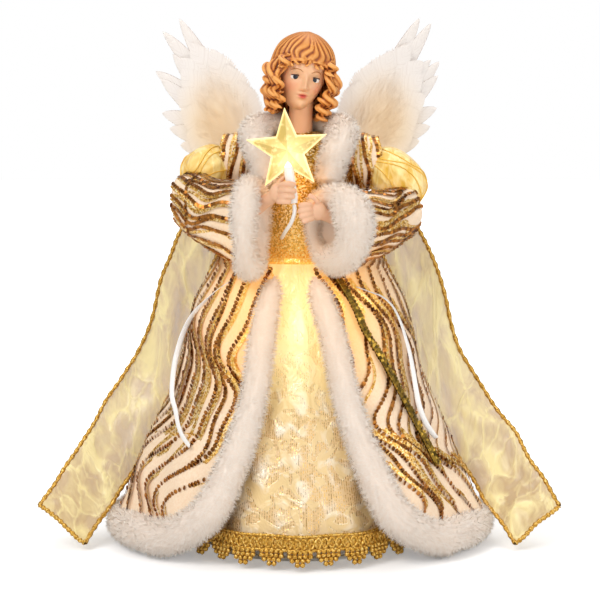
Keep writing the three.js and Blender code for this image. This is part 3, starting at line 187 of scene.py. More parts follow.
# Figure: levels of the torso, the coat and the underskirt as (height, half width, front depth, back depth)
WAIST = 190
TORSO_LEVELS = [(178, 27, 22, 24), (200, 27, 22, 27), (216, 29.7, 23.2, 29.5), (241, 34, 25, 29.5),
                (258, 35, 22, 27), (268, 30, 17, 20.5)]
YOKE_LEVELS = [(273, 21, 13.5, 16), (277, 9, 8, 9)]
COAT_LEVELS = [(24, 120, 88, 84), (53, 108, 79.5, 77), (84, 95, 70.5, 69), (112, 83, 62, 62),
               (145, 74.5, 56.5, 57), (166, 69, 51, 53), (184, 60, 42, 46), (193, 54.5, 34, 39),
               (208, 40, 26.5, 32), (244, 35, 26, 30.8), (254, 35.7, 24, 28.8), (262, 34, 21, 25.5),
               (268, 31, 18.2, 21.8), (274, 22, 14.5, 17)]
UNDERSKIRT_LEVELS = [(12, 76.3, 87.3, 63.8), (57, 65.5, 73, 55.5), (106, 54, 57.7, 46.6),
                     (157, 43, 43, 38), (WAIST, 28.4, 23.4, 26.8)]
BODICE_OFF = 1.9
BODICE_WRAP = 1.3 * math.pi

# Coat: the heights where its folds are deepest and where they end, and those between which its fronts swing
# back to an angle at the sides; then the folds of both skirts
COAT_HANGS = (20, 192)
COAT_OPENS = (188, 206)
COAT_OPEN_ANGLE = 1.3
COAT_FOLDS = 9
COAT_FOLD_DEPTH = 3.5
SKIRT_FOLDS = 13
SKIRT_FOLD_DEPTH = 1.6

# Fur strip: its radius, the hem's height, oval and front corner, and on each side its middle line from the
# waist down to the hem, with its share of the radius there
FUR_R = 13
FUR_HEM_HEIGHT = 15
FUR_HEM_OVAL = (118, 86, 82.5)
FUR_HEM_ANGLE = 0.68
FUR_SHARES = [0.54, 0.65, 0.71, 0.75, 0.85, 0.95]
RIGHT_TRIM = [(-17, -36.5, 183), (-20, -47, 168), (-24, -55, 148), (-30, -62.5, 106), (-43, -72, 66),
              (-60, -77, 34)]
LEFT_TRIM = [(10, -37.5, 183), (14, -49, 168), (21, -56, 147), (30, -62.5, 106), (44, -72, 66), (61, -77, 34)]

# Pile of the fur: how far its core lies inside the full radius, and its hairs, combed down from a point
# high above
FUR_CORE = 1.6
HAIR_LENGTH = 4.6
HAIR_WIDTH = 0.45
HAIR_LEAN = math.radians(50)
HIGH_ABOVE = Vector((0, 0, 9))

# Arms: the cuff's middle, how much thicker one side of it is, half its height and width and the way its
# width lies; the elbow; the sleeve cap and the puff from end to end. A cap is flatter behind than in front.
CUFF_R = 9.5
CAP_R = (20, 14.5)
CAP_BACK = 0.5
ARMS = {
    "right": dict(cuff=(-32.5, -50, 217), swell=1, tall=25, wide=17, across=(0.2, 0.98, 0),
                  elbow=(-80, -12, 235), cap=((-34, -2, 256), (-53, -2, 260)),
                  puff=((-46, -3, 261), (-77, -7, 243)), puff_r=15.5),
    "left": dict(cuff=(21.5, -51, 216), swell=3.5, tall=20.5, wide=20.5, across=(0.66, -0.75, 0),
                 elbow=(76, -9, 225.5), cap=((34, -2, 256), (53, -2, 258)),
                 puff=((46, -3, 262), (81, -7, 231)), puff_r=17),
}
PUFF_WIRES = (0.03, 0.13, 0.24, 0.36, 0.5, 0.63, 0.75, 0.88)

# Fur collar: its middle line from the left lapel round the neck to the right one, with its radius
COLLAR = [((19, -34, 243), 9.5), ((20.5, -32, 256), 10), ((25, -27, 268), 11), ((28, -13, 278), 10.4),
          ((18, 5, 282), 8), ((0, 13, 283), 8.5), ((-18, 5, 282), 8), ((-29, -12, 278), 10.4),
          ((-28.5, -26, 268), 10.5), ((-24.5, -31, 256), 9.5), ((-23.5, -33, 243), 9)]

# Stole: middle line from the free end to the back, the way its width lies there and its share of the full
# width
STOLE_WIDTH = 40
STOLE_EDGE_R = 1.4
STOLE_SIDE = [((158, -28, 17), (0.75, 0.25, 0.58), 1), ((140, 0, 43), (0.74, 0.1, 0.62), 1),
              ((121, 20, 73), (0.8, 0.08, 0.52), 1), ((95, 33, 118), (0.95, 0.1, 0.26), 0.9),
              ((79, 30, 176), (1, 0.1, 0.14), 0.8), ((67, 25, 207), (0.86, 0, 0.5), 0.68),
              ((58, 21, 222), (0.4, 0, 0.9), 0.5), ((36, 28, 219), (0.05, 0.1, 1), 0.45)]
STOLE_BACK = ((0, 35.7, 215), (0, 0, 1), 0.45)

# Cords, from where they leave the figure to their free end
SEQUIN_TAIL = [(21, -36.5, 188), (26, -42, 181), (35, -48, 166), (42, -50, 150), (51, -49, 135),
               (59, -47.5, 121), (67, -46, 106), (74, -44, 92), (82, -43, 77), (86, -43, 69), (90, -43, 61)]
LEFT_TIE = [(36, -40, 177), (47, -34.5, 172.5), (53, -31.5, 170), (60, -29, 164), (65.5, -27, 154),
            (69.5, -27.5, 142), (72.5, -28.5, 131), (74.5, -30.5, 120), (76, -33.5, 110), (78, -36, 99),
            (82, -37, 88), (87, -36, 80), (90, -34.5, 76)]
RIGHT_TIE = [(-43, -30.5, 181), (-53, -26.5, 174), (-62, -23.5, 166), (-68, -20, 160), (-73, -15, 153),
             (-77.5, -10, 144), (-81, -9, 134), (-83.5, -12, 124), (-84.5, -20, 114), (-84.5, -28, 103),
             (-82, -34, 95), (-79.5, -43, 86), (-76, -51.5, 80), (-71, -59.5, 75)]
STAR_CABLE = [(-3.7, -62, 231.6), (-3.4, -61.6, 227), (-5.5, -58, 220), (-9, -50, 214), (-11, -40, 210),
              (-12, -30, 208)]
CORD_STEPS = 26

# Wings: hinge, spread at rest, root of the feathers, the middle that the lamps warm, and each feather as
# (angle above level, length)
HINGE_X = 13
HINGE_Y = 14.5
WING_SWEEP = math.radians(40)
FEATHER_ROOT = (22, 262)
WING_MIDDLE = (56, 45, 278)
LONG_WIDTH = 17
LONG_FEATHERS = [(54, 114), (48.5, 118), (41, 100), (34, 106), (29, 99), (21, 88), (13, 78), (3, 66),
                 (-9, 57), (-22, 47)]
SHORT_WIDTH = 34
SHORT_FEATHERS = [(80, 50), (71, 64), (63, 79), (56, 93), (47, 92), (39, 86), (30, 80), (21, 70), (11, 60),
                  (0, 50), (-13, 40)]
DOWN_SHARE = 0.7

# Head and star: their middle and turn
HEAD = Vector((1.5, -5, 316))
HEAD_TURN = Euler((math.radians(5), math.radians(9.5), math.radians(11)))
STAR = Vector((-8, -62, 266))
STAR_R = 27
STAR_INNER_R = 11.2
STAR_TILT = math.radians(4)

# Lamps that shine through the coat below the waist, and how far they reach
WAIST_LAMPS = (0, -45, 160)
LAMP_REACH = 100

# Stripes of the coat cloth: band and sequin sizes; then, for each cloth, how many there are, the shares up it
# where they start, where most end and where every fourth one ends, how far and how often they sway, and
# their size
BAND_WIDTH = 3.5
SEQUIN_R = 1.6
SEQUIN_PITCH = 2.1
SEQUIN_STEPS = 200
COAT_STRIPES = dict(count=64, span=(0.01, 0.68, 0.96), sway=0.034, waves=2.4)
SLEEVE_STRIPES = dict(count=34, span=(0.08, 0.94, 0.94), sway=0.035, waves=1.1, size=0.75)
CAP_STRIPES = dict(count=5, span=(0, 1, 1), sway=0.06, waves=3, size=0.65)


# Shapes


def mix(low, high, share):
    """The value a share of the way from low to high."""
    return low + (high - low) * share


def blend(start, leave, end, arrive, step):
    """A value on the smooth curve from start to end that leaves and arrives at the given rates."""
    square = step ** 2
    cube = step ** 3
    return (start * (2 * cube - 3 * square + 1) + leave * (cube - 2 * square + step)
            + end * (3 * square - 2 * cube) + arrive * (cube - square))


def smooth_line(points):
    """A smooth curve through points, as a function of the share along it."""
    ends = [Vector(point) for point in points]
    ends = [2 * ends[0] - ends[1], *ends, 2 * ends[-1] - ends[-2]]

    def at(share):
        place = min(max(share, 0), 1) * (len(points) - 1)
        first = min(int(place), len(points) - 2)
        before, start, end, after = ends[first:first + 4]
        one = math.sqrt((start - before).length)
        two = math.sqrt((end - start).length)
        three = math.sqrt((after - end).length)
        leave = ((start - before) / one - (end - before) / (one + two) + (end - start) / two) * two
        arrive = ((end - start) / two - (after - start) / (two + three) + (after - end) / three) * two
        return blend(start, leave, end, arrive, place - first)

    return at


def profile(rows):
    """A smooth function through rows of (place, value, ...), level beyond both ends."""

    def at(place):
        place = min(max(place, rows[0][0]), rows[-1][0])
        first = max(index for index in range(len(rows) - 1) if rows[index][0] <= place)
        low, high = rows[first], rows[first + 1]
        before = rows[max(first - 1, 0)]
        after = rows[min(first + 2, len(rows) - 1)]
        width = high[0] - low[0]
        step = (place - low[0]) / width
        values = []
        for kind in range(1, len(low)):
            leave = (high[kind] - before[kind]) / (high[0] - before[0]) * width
            arrive = (after[kind] - low[kind]) / (after[0] - low[0]) * width
            values.append(blend(low[kind], leave, high[kind], arrive, step))
        return values if len(values) > 1 else values[0]

    return at


def egg(angle, levels, height, grow=0):
    """A point of a round whose front and back differ; angle 0 is the front and a quarter turn is +X."""
    half, front, back = levels(height)
    depth = front if math.cos(angle) > 0 else back
    return Vector(((half + grow) * math.sin(angle), -(depth + grow) * math.cos(angle), height))


def grid(bm, columns, rows, place, shade=None):
    """A grid of quads whose corner at shares (u, v) goes to place(u, v), with those shares as its UV map."""
    unwrapped = bm.loops.layers.uv.verify()
    shades = bm.verts.layers.float
    layer = (shades.get("shade") or shades.new("shade")) if shade else None
    verts = bmesh.ops.create_grid(bm, x_segments=columns, y_segments=rows, size=0.5)["verts"]
    shares = {}
    for vert in verts:
        shares[vert] = (vert.co.x + 0.5, vert.co.y + 0.5)
        vert.co = place(*shares[vert])
        if shade:
            vert[layer] = shade(*shares[vert])
    for face in {face for vert in verts for face in vert.link_faces}:
        for loop in face.loops:
            loop[unwrapped].uv = shares[loop.vert]
    return verts


def closed_grid(bm, columns, rows, place):
    """A grid whose edges and poles are joined where they meet."""
    bmesh.ops.remove_doubles(bm, verts=grid(bm, columns, rows, place), dist=WELD)


def carried(line, steps):
    """Points along a line, each with two directions across it that don't twist from point to point."""
    points = [line(step / steps) for step in range(steps + 1)]
    ways = [(points[min(i + 1, steps)] - points[max(i - 1, 0)]).normalized() for i in range(steps + 1)]
    if (points[0] - points[-1]).length < 1e-4:
        ways[0] = ways[-1] = (points[1] - points[-2]).normalized()
    side = ways[0].cross(UP if abs(ways[0].z) < 0.9 else Vector((0, 1, 0))).normalized()
    rows = []
    for point, way in zip(points, ways):
        side = (side - way * side.dot(way)).normalized()
        rows.append((point, side, way.cross(side)))
    return rows


def tube(bm, line, radius, sides, steps, flat=1, twist=0):
    """A tube along a line; radius is a function of the share along it, and flat squeezes one way across."""
    rows = carried(line, steps)

    def place(u, v):
        point, side, up = rows[round(v * steps)]
        lean = twist * v
        one = side * math.cos(lean) + up * math.sin(lean)
        two = up * math.cos(lean) - side * math.sin(lean)
        size = radius(v)
        return point + one * (size * math.cos(TURN * u)) + two * (size * flat * math.sin(TURN * u))

    closed_grid(bm, sides, steps, place)


def round_ends(size, share=0.06):
    """A radius that closes to nothing over a share of the length at both ends."""

    def at(v):
        edge = min(v, 1 - v) / share
        return size * math.sqrt(max(0, 1 - (1 - min(1, edge)) ** 2))

    return at


def pour(source, target):
    """Moves all of one bmesh into another; a piece of many parts is made faster from small ones."""
    mesh = bpy.data.meshes.new("poured")
    source.to_mesh(mesh)
    source.free()
    target.from_mesh(mesh)
    bpy.data.meshes.remove(mesh)


def piece(name, bm, finish, body="figure", replaced=(), slot=None, toward=None):
    """The object of a finished bmesh, in metres, riding on a body in place of CAD nodes.

    An open piece is given the direction that it faces toward.
    """
    bmesh.ops.recalc_face_normals(bm, faces=bm.faces)
    if toward and sum(face.normal.dot(toward) for face in bm.faces) < 0:
        bmesh.ops.reverse_faces(bm, faces=bm.faces)
    bmesh.ops.scale(bm, vec=(MM, MM, MM), verts=bm.verts)
    mesh = bpy.data.meshes.new(name)
    bm.to_mesh(mesh)
    bm.free()
    mesh.shade_smooth()
    mesh.materials.append(finish)
    made = bpy.data.objects.new(name, mesh)
    bpy.context.scene.collection.objects.link(made)
    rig.ride(made, body)
    if replaced:
        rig.replaces(made, *replaced)
    if slot:
        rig.slot(made, slot)
    return made


# Materials


def colour(code):
    """A hex colour, as the eye sees it, in the linear values that shaders take."""
    parts = [int(code[index:index + 2], 16) / 255 for index in (1, 3, 5)]
    return (*(part / 12.92 if part <= 0.04045 else ((part + 0.055) / 1.055) ** 2.4 for part in parts), 1)


def node(tree, kind, inputs=None, stops=None, **settings):
    """Adds a node with its settings, the values or sockets that its inputs take, and a ramp's stops."""
    made = tree.nodes.new(kind)
    for name, value in settings.items():
        setattr(made, name, value)
    for name, value in (inputs or {}).items():
        if isinstance(value, bpy.types.NodeSocket):
            tree.links.new(value, made.inputs[name])
        else:
            made.inputs[name].default_value = value
    if stops:
        ramp = made.color_ramp.elements
        ramp.remove(ramp[1])
        ramp[0].position = stops[0][0]
        ramp[0].color = colour(stops[0][1])
        for place, code in stops[1:]:
            ramp.new(place).color = colour(code)
    return made


def material(name, code, values):
    """A new material of one colour with these values on its shader, its node tree and the shader."""
    made = bpy.data.materials.new(name)
    made.use_nodes = True
    shader = made.node_tree.nodes["Principled BSDF"]
    shader.inputs["Base Color"].default_value = colour(code)
    for socket, value in values.items():
        shader.inputs[socket].default_value = value
    return made, made.node_tree, shader


def per(size):
    """A texture's scale for features of a size in millimetres, on Object coordinates."""
    return 1 / (size * MM)


def relief(tree, shader, height, depth, strength=0.5):
    """Raises a pattern off the surface by a depth in millimetres."""
    bump = node(tree, "ShaderNodeBump", {"Height": height, "Distance": depth * MM, "Strength": strength})
    tree.links.new(bump.outputs["Normal"], shader.inputs["Normal"])


def glow(tree, shader, base, centre, reach, code, tint, strength):
    """Lamp light through a piece: it tints the base colour and shines, fading from centre to reach."""
    place = node(tree, "ShaderNodeTexCoord").outputs["Object"]
    away = node(tree, "ShaderNodeVectorMath", {0: place, 1: Vector(centre) * MM}, operation="DISTANCE")
    fade = node(tree, "ShaderNodeMapRange",
                {"Value": away.outputs["Value"], "From Max": reach * MM, "To Min": 1, "To Max": 0},
                interpolation_type="SMOOTHERSTEP")
    share = node(tree, "ShaderNodeMath", {0: fade.outputs["Result"], 1: tint}, operation="MULTIPLY")
    tinted = node(tree, "ShaderNodeMix", {0: share.outputs["Value"], 6: base, 7: colour(code)},
                  data_type="RGBA")
    tree.links.new(tinted.outputs[2], shader.inputs["Base Color"])
    shine = node(tree, "ShaderNodeMath", {0: fade.outputs["Result"], 1: strength}, operation="MULTIPLY")
    shader.inputs["Emission Color"].default_value = colour(code)
    tree.links.new(shine.outputs["Value"], shader.inputs["Emission Strength"])


def speckled(name, code, values, size, depth):
    """A plain moulded or cast finish with a fine grain."""
    made, tree, shader = material(name, code, values)
    place = node(tree, "ShaderNodeTexCoord").outputs["Object"]
    grain = node(tree, "ShaderNodeTexNoise", {"Vector": place, "Scale": per(size), "Detail": 3})
    relief(tree, shader, grain.outputs["Fac"], depth, 0.3)
    return made


def fur_finish():
    """White acrylic pile: bright tips over warm roots darkened with painted shade, peach where the lamps at the waist
    reach it.
    """
    made, tree, shader = material("acrylic_pile", "#FBF4EE", {"Roughness": 0.85, "Sheen Weight": 0.2})
    tip = node(tree, "ShaderNodeAttribute", attribute_name="shade")
    # Painted shade: the hair's colour darkens from tip to root, where the hairs shade one another
    ramp = node(tree, "ShaderNodeValToRGB", {"Fac": tip.outputs["Fac"]},
                [(0, "#F8E9DA"), (0.5, "#FDF2E6"), (1, "#FFFAF2")])
    glow(tree, shader, ramp.outputs["Color"], (-4, -50, 165), 90, "#FFDDB4", 0.35, 0.06)
    return made


def satin_finish():
    """Cream polyester satin: a soft sheen, and the lamps' orange light behind it at the waist.

    Its weave is drawn coarser than real.
    """
    made, tree, shader = material("polyester_satin", "#F7E1D0", {"Roughness": 0.42, "Sheen Weight": 0.3})
    place = node(tree, "ShaderNodeTexCoord").outputs["Object"]
    weave = node(tree, "ShaderNodeTexNoise", {"Vector": place, "Scale": per(1.5), "Detail": 4})
    relief(tree, shader, weave.outputs["Fac"], 0.4)
    ramp = node(tree, "ShaderNodeValToRGB", {"Fac": weave.outputs["Fac"]},
                [(0.3, "#F4D3AE"), (0.7, "#FBE2C4")])
    glow(tree, shader, ramp.outputs["Color"], WAIST_LAMPS, LAMP_REACH, "#FFC060", 0.85, 0.42)
    return made


def glitter_finish(name, dark, light):
    """Gold glitter glued to cloth: metal flakes that each face another way, drawn coarser than real; each flake's
    colour runs from dark gold to a near-white painted glint.
    """
    made, tree, shader = material(name, light, {"Metallic": 0.75, "Roughness": 0.38})
    place = node(tree, "ShaderNodeTexCoord").outputs["Object"]
    flake = node(tree, "ShaderNodeTexVoronoi", {"Vector": place, "Scale": per(0.9)})
    # Painted glints: the flakes take random tones, the brightest near-white, as if caught by the light
    ramp = node(tree, "ShaderNodeValToRGB", {"Fac": flake.outputs["Color"]},
                [(0.2, dark), (0.55, light), (0.9, "#FFF1C4")])
    glow(tree, shader, ramp.outputs["Color"], WAIST_LAMPS, LAMP_REACH, "#FFC45C", 0.5, 0.42)
    relief(tree, shader, flake.outputs["Color"], 0.6)
    return made


def sequin_finish(name, dark, light):
    """Dyed metallised film: a mirror with a tint that differs a little from sequin to sequin."""
    made, tree, shader = material(name, light, {"Metallic": 0.85, "Roughness": 0.25})
    place = node(tree, "ShaderNodeTexCoord").outputs["Object"]
    each = node(tree, "ShaderNodeTexVoronoi", {"Vector": place, "Scale": per(2.2)})
    ramp = node(tree, "ShaderNodeValToRGB", {"Fac": each.outputs["Color"]}, [(0.1, dark), (0.9, light)])
    tree.links.new(ramp.outputs["Color"], shader.inputs["Base Color"])
    return made


def brocade_finish():
    """Pale gold brocade, lit from inside at the waist, with painted highlights on its crumples: dotted lurex lines
    between smooth raised motifs.

    The shares of its UV map are spread to the skirt's millimetres, and the lurex is drawn coarser than real.
    """
    made, tree, shader = material("lurex_brocade", "#F1DDAE", {"Roughness": 0.26, "Sheen Weight": 0.15})
    shares = node(tree, "ShaderNodeUVMap").outputs["UV"]
    flat = node(tree, "ShaderNodeMapping", {"Vector": shares, "Scale": (440, 190, 1)}).outputs["Vector"]
    motif = node(tree, "ShaderNodeTexNoise",
                 {"Vector": flat, "Scale": 1 / 17, "Detail": 1.5, "Distortion": 1.8})
    patch = node(tree, "ShaderNodeMapRange",
                 {"Value": motif.outputs["Fac"], "From Min": 0.47, "From Max": 0.55},
                 interpolation_type="SMOOTHSTEP")
    lines = node(tree, "ShaderNodeTexWave", {"Vector": flat, "Scale": 0.2, "Distortion": 0.6, "Detail": 1})
    dots = node(tree, "ShaderNodeTexNoise", {"Vector": flat, "Scale": 0.7, "Detail": 1})
    lurex = node(tree, "ShaderNodeMath", {0: lines.outputs["Fac"], 1: dots.outputs["Fac"]},
                 operation="MULTIPLY")
    thread = node(tree, "ShaderNodeMapRange",
                  {"Value": lurex.outputs["Value"], "From Min": 0.42, "From Max": 0.52})
    woven = node(tree, "ShaderNodeMath", {0: thread.outputs["Result"], 1: patch.outputs["Result"]},
                 operation="MULTIPLY")
    ground = node(tree, "ShaderNodeValToRGB", {"Fac": patch.outputs["Result"]},
                  [(0, "#EACB92"), (0.35, "#EACB92"), (0.5, "#FBEAC8"), (0.65, "#E3C088"), (1, "#E1BE8A")])
    cloth = node(tree, "ShaderNodeMix",
                 {0: woven.outputs["Value"], 6: ground.outputs["Color"], 7: colour("#C8A050")},
                 data_type="RGBA")
    tree.links.new(woven.outputs["Value"], shader.inputs["Metallic"])
    crush = node(tree, "ShaderNodeTexNoise",
                 {"Vector": flat, "Scale": 0.08, "Detail": 3, "Distortion": 0.6})
    raised = node(tree, "ShaderNodeMath", {0: patch.outputs["Result"], 1: -0.12, 2: crush.outputs["Fac"]},
                  operation="MULTIPLY_ADD")
    relief(tree, shader, raised.outputs["Value"], 2.6, 0.8)
    # Painted highlight: where the crumple noise is high, the colour is lightened towards near-white
    satin = node(tree, "ShaderNodeMapRange",
                 {"Value": crush.outputs["Fac"], "From Min": 0.52, "From Max": 0.7, "To Max": 0.6})
    painted_highlight = node(tree, "ShaderNodeMix",
                  {0: satin.outputs["Result"], 6: cloth.outputs[2], 7: colour("#FFF8E8")},
                  data_type="RGBA")
    glow(tree, shader, painted_highlight.outputs[2], (0, -38, 188), 125, "#FFEAA4", 0.8, 0.5)
    return made


def braid_finish():
    """Gold gimp: metallised yarn wound round a core, with a fine twist."""
    made, tree, shader = material("gold_gimp", "#B98A2E", {"Metallic": 0.7, "Roughness": 0.36})
    place = node(tree, "ShaderNodeTexCoord").outputs["Object"]
    yarn = node(tree, "ShaderNodeTexNoise", {"Vector": place, "Scale": per(1.1), "Detail": 3})
    ramp = node(tree, "ShaderNodeValToRGB", {"Fac": yarn.outputs["Fac"]},
                [(0.3, "#8A5E16"), (0.5, "#D29E3A"), (0.7, "#FADC88")])
    tree.links.new(ramp.outputs["Color"], shader.inputs["Base Color"])
    relief(tree, shader, yarn.outputs["Fac"], 0.5)
    return made


def organza_finish(name, code, pale, size, clear, shine=0):
    """Sheer crushed organza: part of the light passes, creases of a size get paler painted highlights, and shine gives
    it a painted glow in its own colour.
    """
    # shine is a painted glow, emitted in the organza's own colour
    made, tree, shader = material(name, code, {"Roughness": 0.32, "Sheen Weight": 0.3,
                                               "Emission Color": colour(code), "Emission Strength": shine})
    place = node(tree, "ShaderNodeTexCoord").outputs["Object"]
    leaning = node(tree, "ShaderNodeMapping",
                   {"Vector": place, "Rotation": (0.5, 0.9, 0.4), "Scale": (1, 1, 0.3)}).outputs["Vector"]
    crease = node(tree, "ShaderNodeTexNoise",
                  {"Vector": leaning, "Scale": per(size), "Detail": 3, "Distortion": 0.6})
    bent = node(tree, "ShaderNodeVectorMath",
                {0: crease.outputs["Color"], 1: (size * MM,) * 3, 2: leaning}, operation="MULTIPLY_ADD")
    facets = node(tree, "ShaderNodeTexVoronoi",
                  {"Vector": bent.outputs["Vector"], "Scale": per(1.3 * size)}, feature="DISTANCE_TO_EDGE")
    ridge = node(tree, "ShaderNodeMapRange",
                 {"Value": facets.outputs["Distance"], "From Max": 0.09, "To Min": 0.13, "To Max": 0},
                 interpolation_type="SMOOTHSTEP")
    # Painted highlights: the colour pales along the crease noise and along the ridges between crumpled facets
    tone = node(tree, "ShaderNodeMath", {0: crease.outputs["Fac"], 1: ridge.outputs["Result"]})
    ramp = node(tree, "ShaderNodeValToRGB", {"Fac": tone.outputs["Value"]}, [(0.4, code), (0.68, pale)])
    tree.links.new(ramp.outputs["Color"], shader.inputs["Base Color"])
    cover = node(tree, "ShaderNodeMapRange",
                 {"Value": tone.outputs["Value"], "From Min": 0.35, "From Max": 0.7,
                  "To Min": clear, "To Max": min(1, clear + 0.15)})
    tree.links.new(cover.outputs["Result"], shader.inputs["Alpha"])
    relief(tree, shader, tone.outputs["Value"], 3)
    return made


def warm_middle(tree, shader, base):
    """Peach light in the middle of a wing, which fades towards its edge."""
    place = node(tree, "ShaderNodeTexCoord").outputs["Object"]
    outward = node(tree, "ShaderNodeVectorMath", {0: place}, operation="ABSOLUTE")
    middle = node(tree, "ShaderNodeVectorMath", {0: outward.outputs["Vector"], 1: Vector(WING_MIDDLE) * MM},
                  operation="DISTANCE")
    warm = node(tree, "ShaderNodeMapRange",
                {"Value": middle.outputs["Value"], "From Min": 6 * MM, "From Max": 52 * MM,
                 "To Min": 0.85, "To Max": 0}, interpolation_type="SMOOTHSTEP")
    tint = node(tree, "ShaderNodeMix", {0: warm.outputs["Result"], 6: base, 7: colour("#F6D8AA")},
                data_type="RGBA")
    tree.links.new(tint.outputs[2], shader.inputs["Base Color"])


def feather_finish(name, soft):
    """White goose feather: barbs slant off the quill; soft ones fray at the edge, and stiff ones get painted shade
    along their edge.
    """
    made, tree, shader = material(name, "#F3EAE2", {"Roughness": 0.65, "Sheen Weight": 0.2})
    shares = node(tree, "ShaderNodeUVMap").outputs["UV"]
    parts = node(tree, "ShaderNodeSeparateXYZ", {"Vector": shares})
    off = node(tree, "ShaderNodeMath", {0: parts.outputs["X"], 1: 0.5}, operation="SUBTRACT")
    away = node(tree, "ShaderNodeMath", {0: off.outputs["Value"]}, operation="ABSOLUTE")
    slant = node(tree, "ShaderNodeMath", {0: away.outputs["Value"], 1: -0.25, 2: parts.outputs["Y"]},
                 operation="MULTIPLY_ADD")
    barb = node(tree, "ShaderNodeTexNoise", {"W": slant.outputs["Value"], "Scale": 70, "Detail": 2},
                noise_dimensions="1D")
    # Painted shade: stiff feathers darken along their outer edge
    painted_rim = node(tree, "ShaderNodeMapRange",
               {"Value": away.outputs["Value"], "From Min": 0.43, "From Max": 0.5,
                "To Max": 0 if soft else -0.5})
    tone = node(tree, "ShaderNodeMath", {0: barb.outputs["Fac"], 1: painted_rim.outputs["Result"]})
    ramp = node(tree, "ShaderNodeValToRGB", {"Fac": tone.outputs["Value"]},
                [(0, "#B9A698"), (0.28, "#EEE4DC"), (0.6, "#F6EEE7")])
    warm_middle(tree, shader, ramp.outputs["Color"])
    relief(tree, shader, barb.outputs["Fac"], 0.3, 0.2)
    if soft:
        tip = node(tree, "ShaderNodeMapRange", {"Value": parts.outputs["Y"], "From Min": 0.8, "From Max": 1,
                                                "To Max": 0.2})
        rough = node(tree, "ShaderNodeMath", {0: barb.outputs["Fac"], 1: 0.3, 2: tip.outputs["Result"]},
                     operation="MULTIPLY_ADD")
        edge = node(tree, "ShaderNodeMath", {0: rough.outputs["Value"], 1: away.outputs["Value"]})
        kept = node(tree, "ShaderNodeMath", {0: edge.outputs["Value"], 1: 0.63}, operation="LESS_THAN")
        tree.links.new(kept.outputs["Value"], shader.inputs["Alpha"])
    return made


def down_finish():
    """Marabou: fine white plumes, darkened towards their roots with painted shade."""
    made, tree, shader = material("marabou", "#F4ECE5", {"Roughness": 0.8, "Sheen Weight": 0.2})
    tip = node(tree, "ShaderNodeAttribute", attribute_name="shade")
    # Painted shade: the plumes darken from tip to root
    ramp = node(tree, "ShaderNodeValToRGB", {"Fac": tip.outputs["Fac"]}, [(0, "#F5EDE6"), (1, "#FDF9F5")])
    warm_middle(tree, shader, ramp.outputs["Color"])
    return made


def ribbon_finish():
    """White satin ribbon with a fine rib across it."""
    made, tree, shader = material("satin_ribbon", "#F8F4EF", {"Roughness": 0.35, "Sheen Weight": 0.3})
    place = node(tree, "ShaderNodeTexCoord").outputs["Object"]
    rib = node(tree, "ShaderNodeTexWave", {"Vector": place, "Scale": per(4), "Distortion": 2},
               bands_direction="Z")
    relief(tree, shader, rib.outputs["Fac"], 0.2, 0.3)
    return made


def skin_finish():
    """Painted vinyl: peach, with blush, lips and shade painted on as an attribute."""
    made, tree, shader = material("painted_vinyl", "#F0C5A2", {"Roughness": 0.45, "Subsurface Weight": 0.12,
                                                             "Subsurface Scale": 0.002})
    paint = node(tree, "ShaderNodeAttribute", attribute_name="paint")
    tree.links.new(paint.outputs["Color"], shader.inputs["Base Color"])
    return made


def hair_finish():
    """Moulded hair painted ginger, with painted shade in its grooves and painted highlights on its ridges."""
    made, tree, shader = material("painted_hair", "#D9822F", {"Roughness": 0.48})
    groove_shade = node(tree, "ShaderNodeAttribute", attribute_name="shade")
    # Painted shade in the grooves and painted highlights on the ridges
    ramp = node(tree, "ShaderNodeValToRGB", {"Fac": groove_shade.outputs["Fac"]},
                [(0, "#6B2C08"), (0.4, "#B05E16"), (0.6, "#CE7F32"), (1, "#EEA85A")])
    tree.links.new(ramp.outputs["Color"], shader.inputs["Base Color"])
    return made


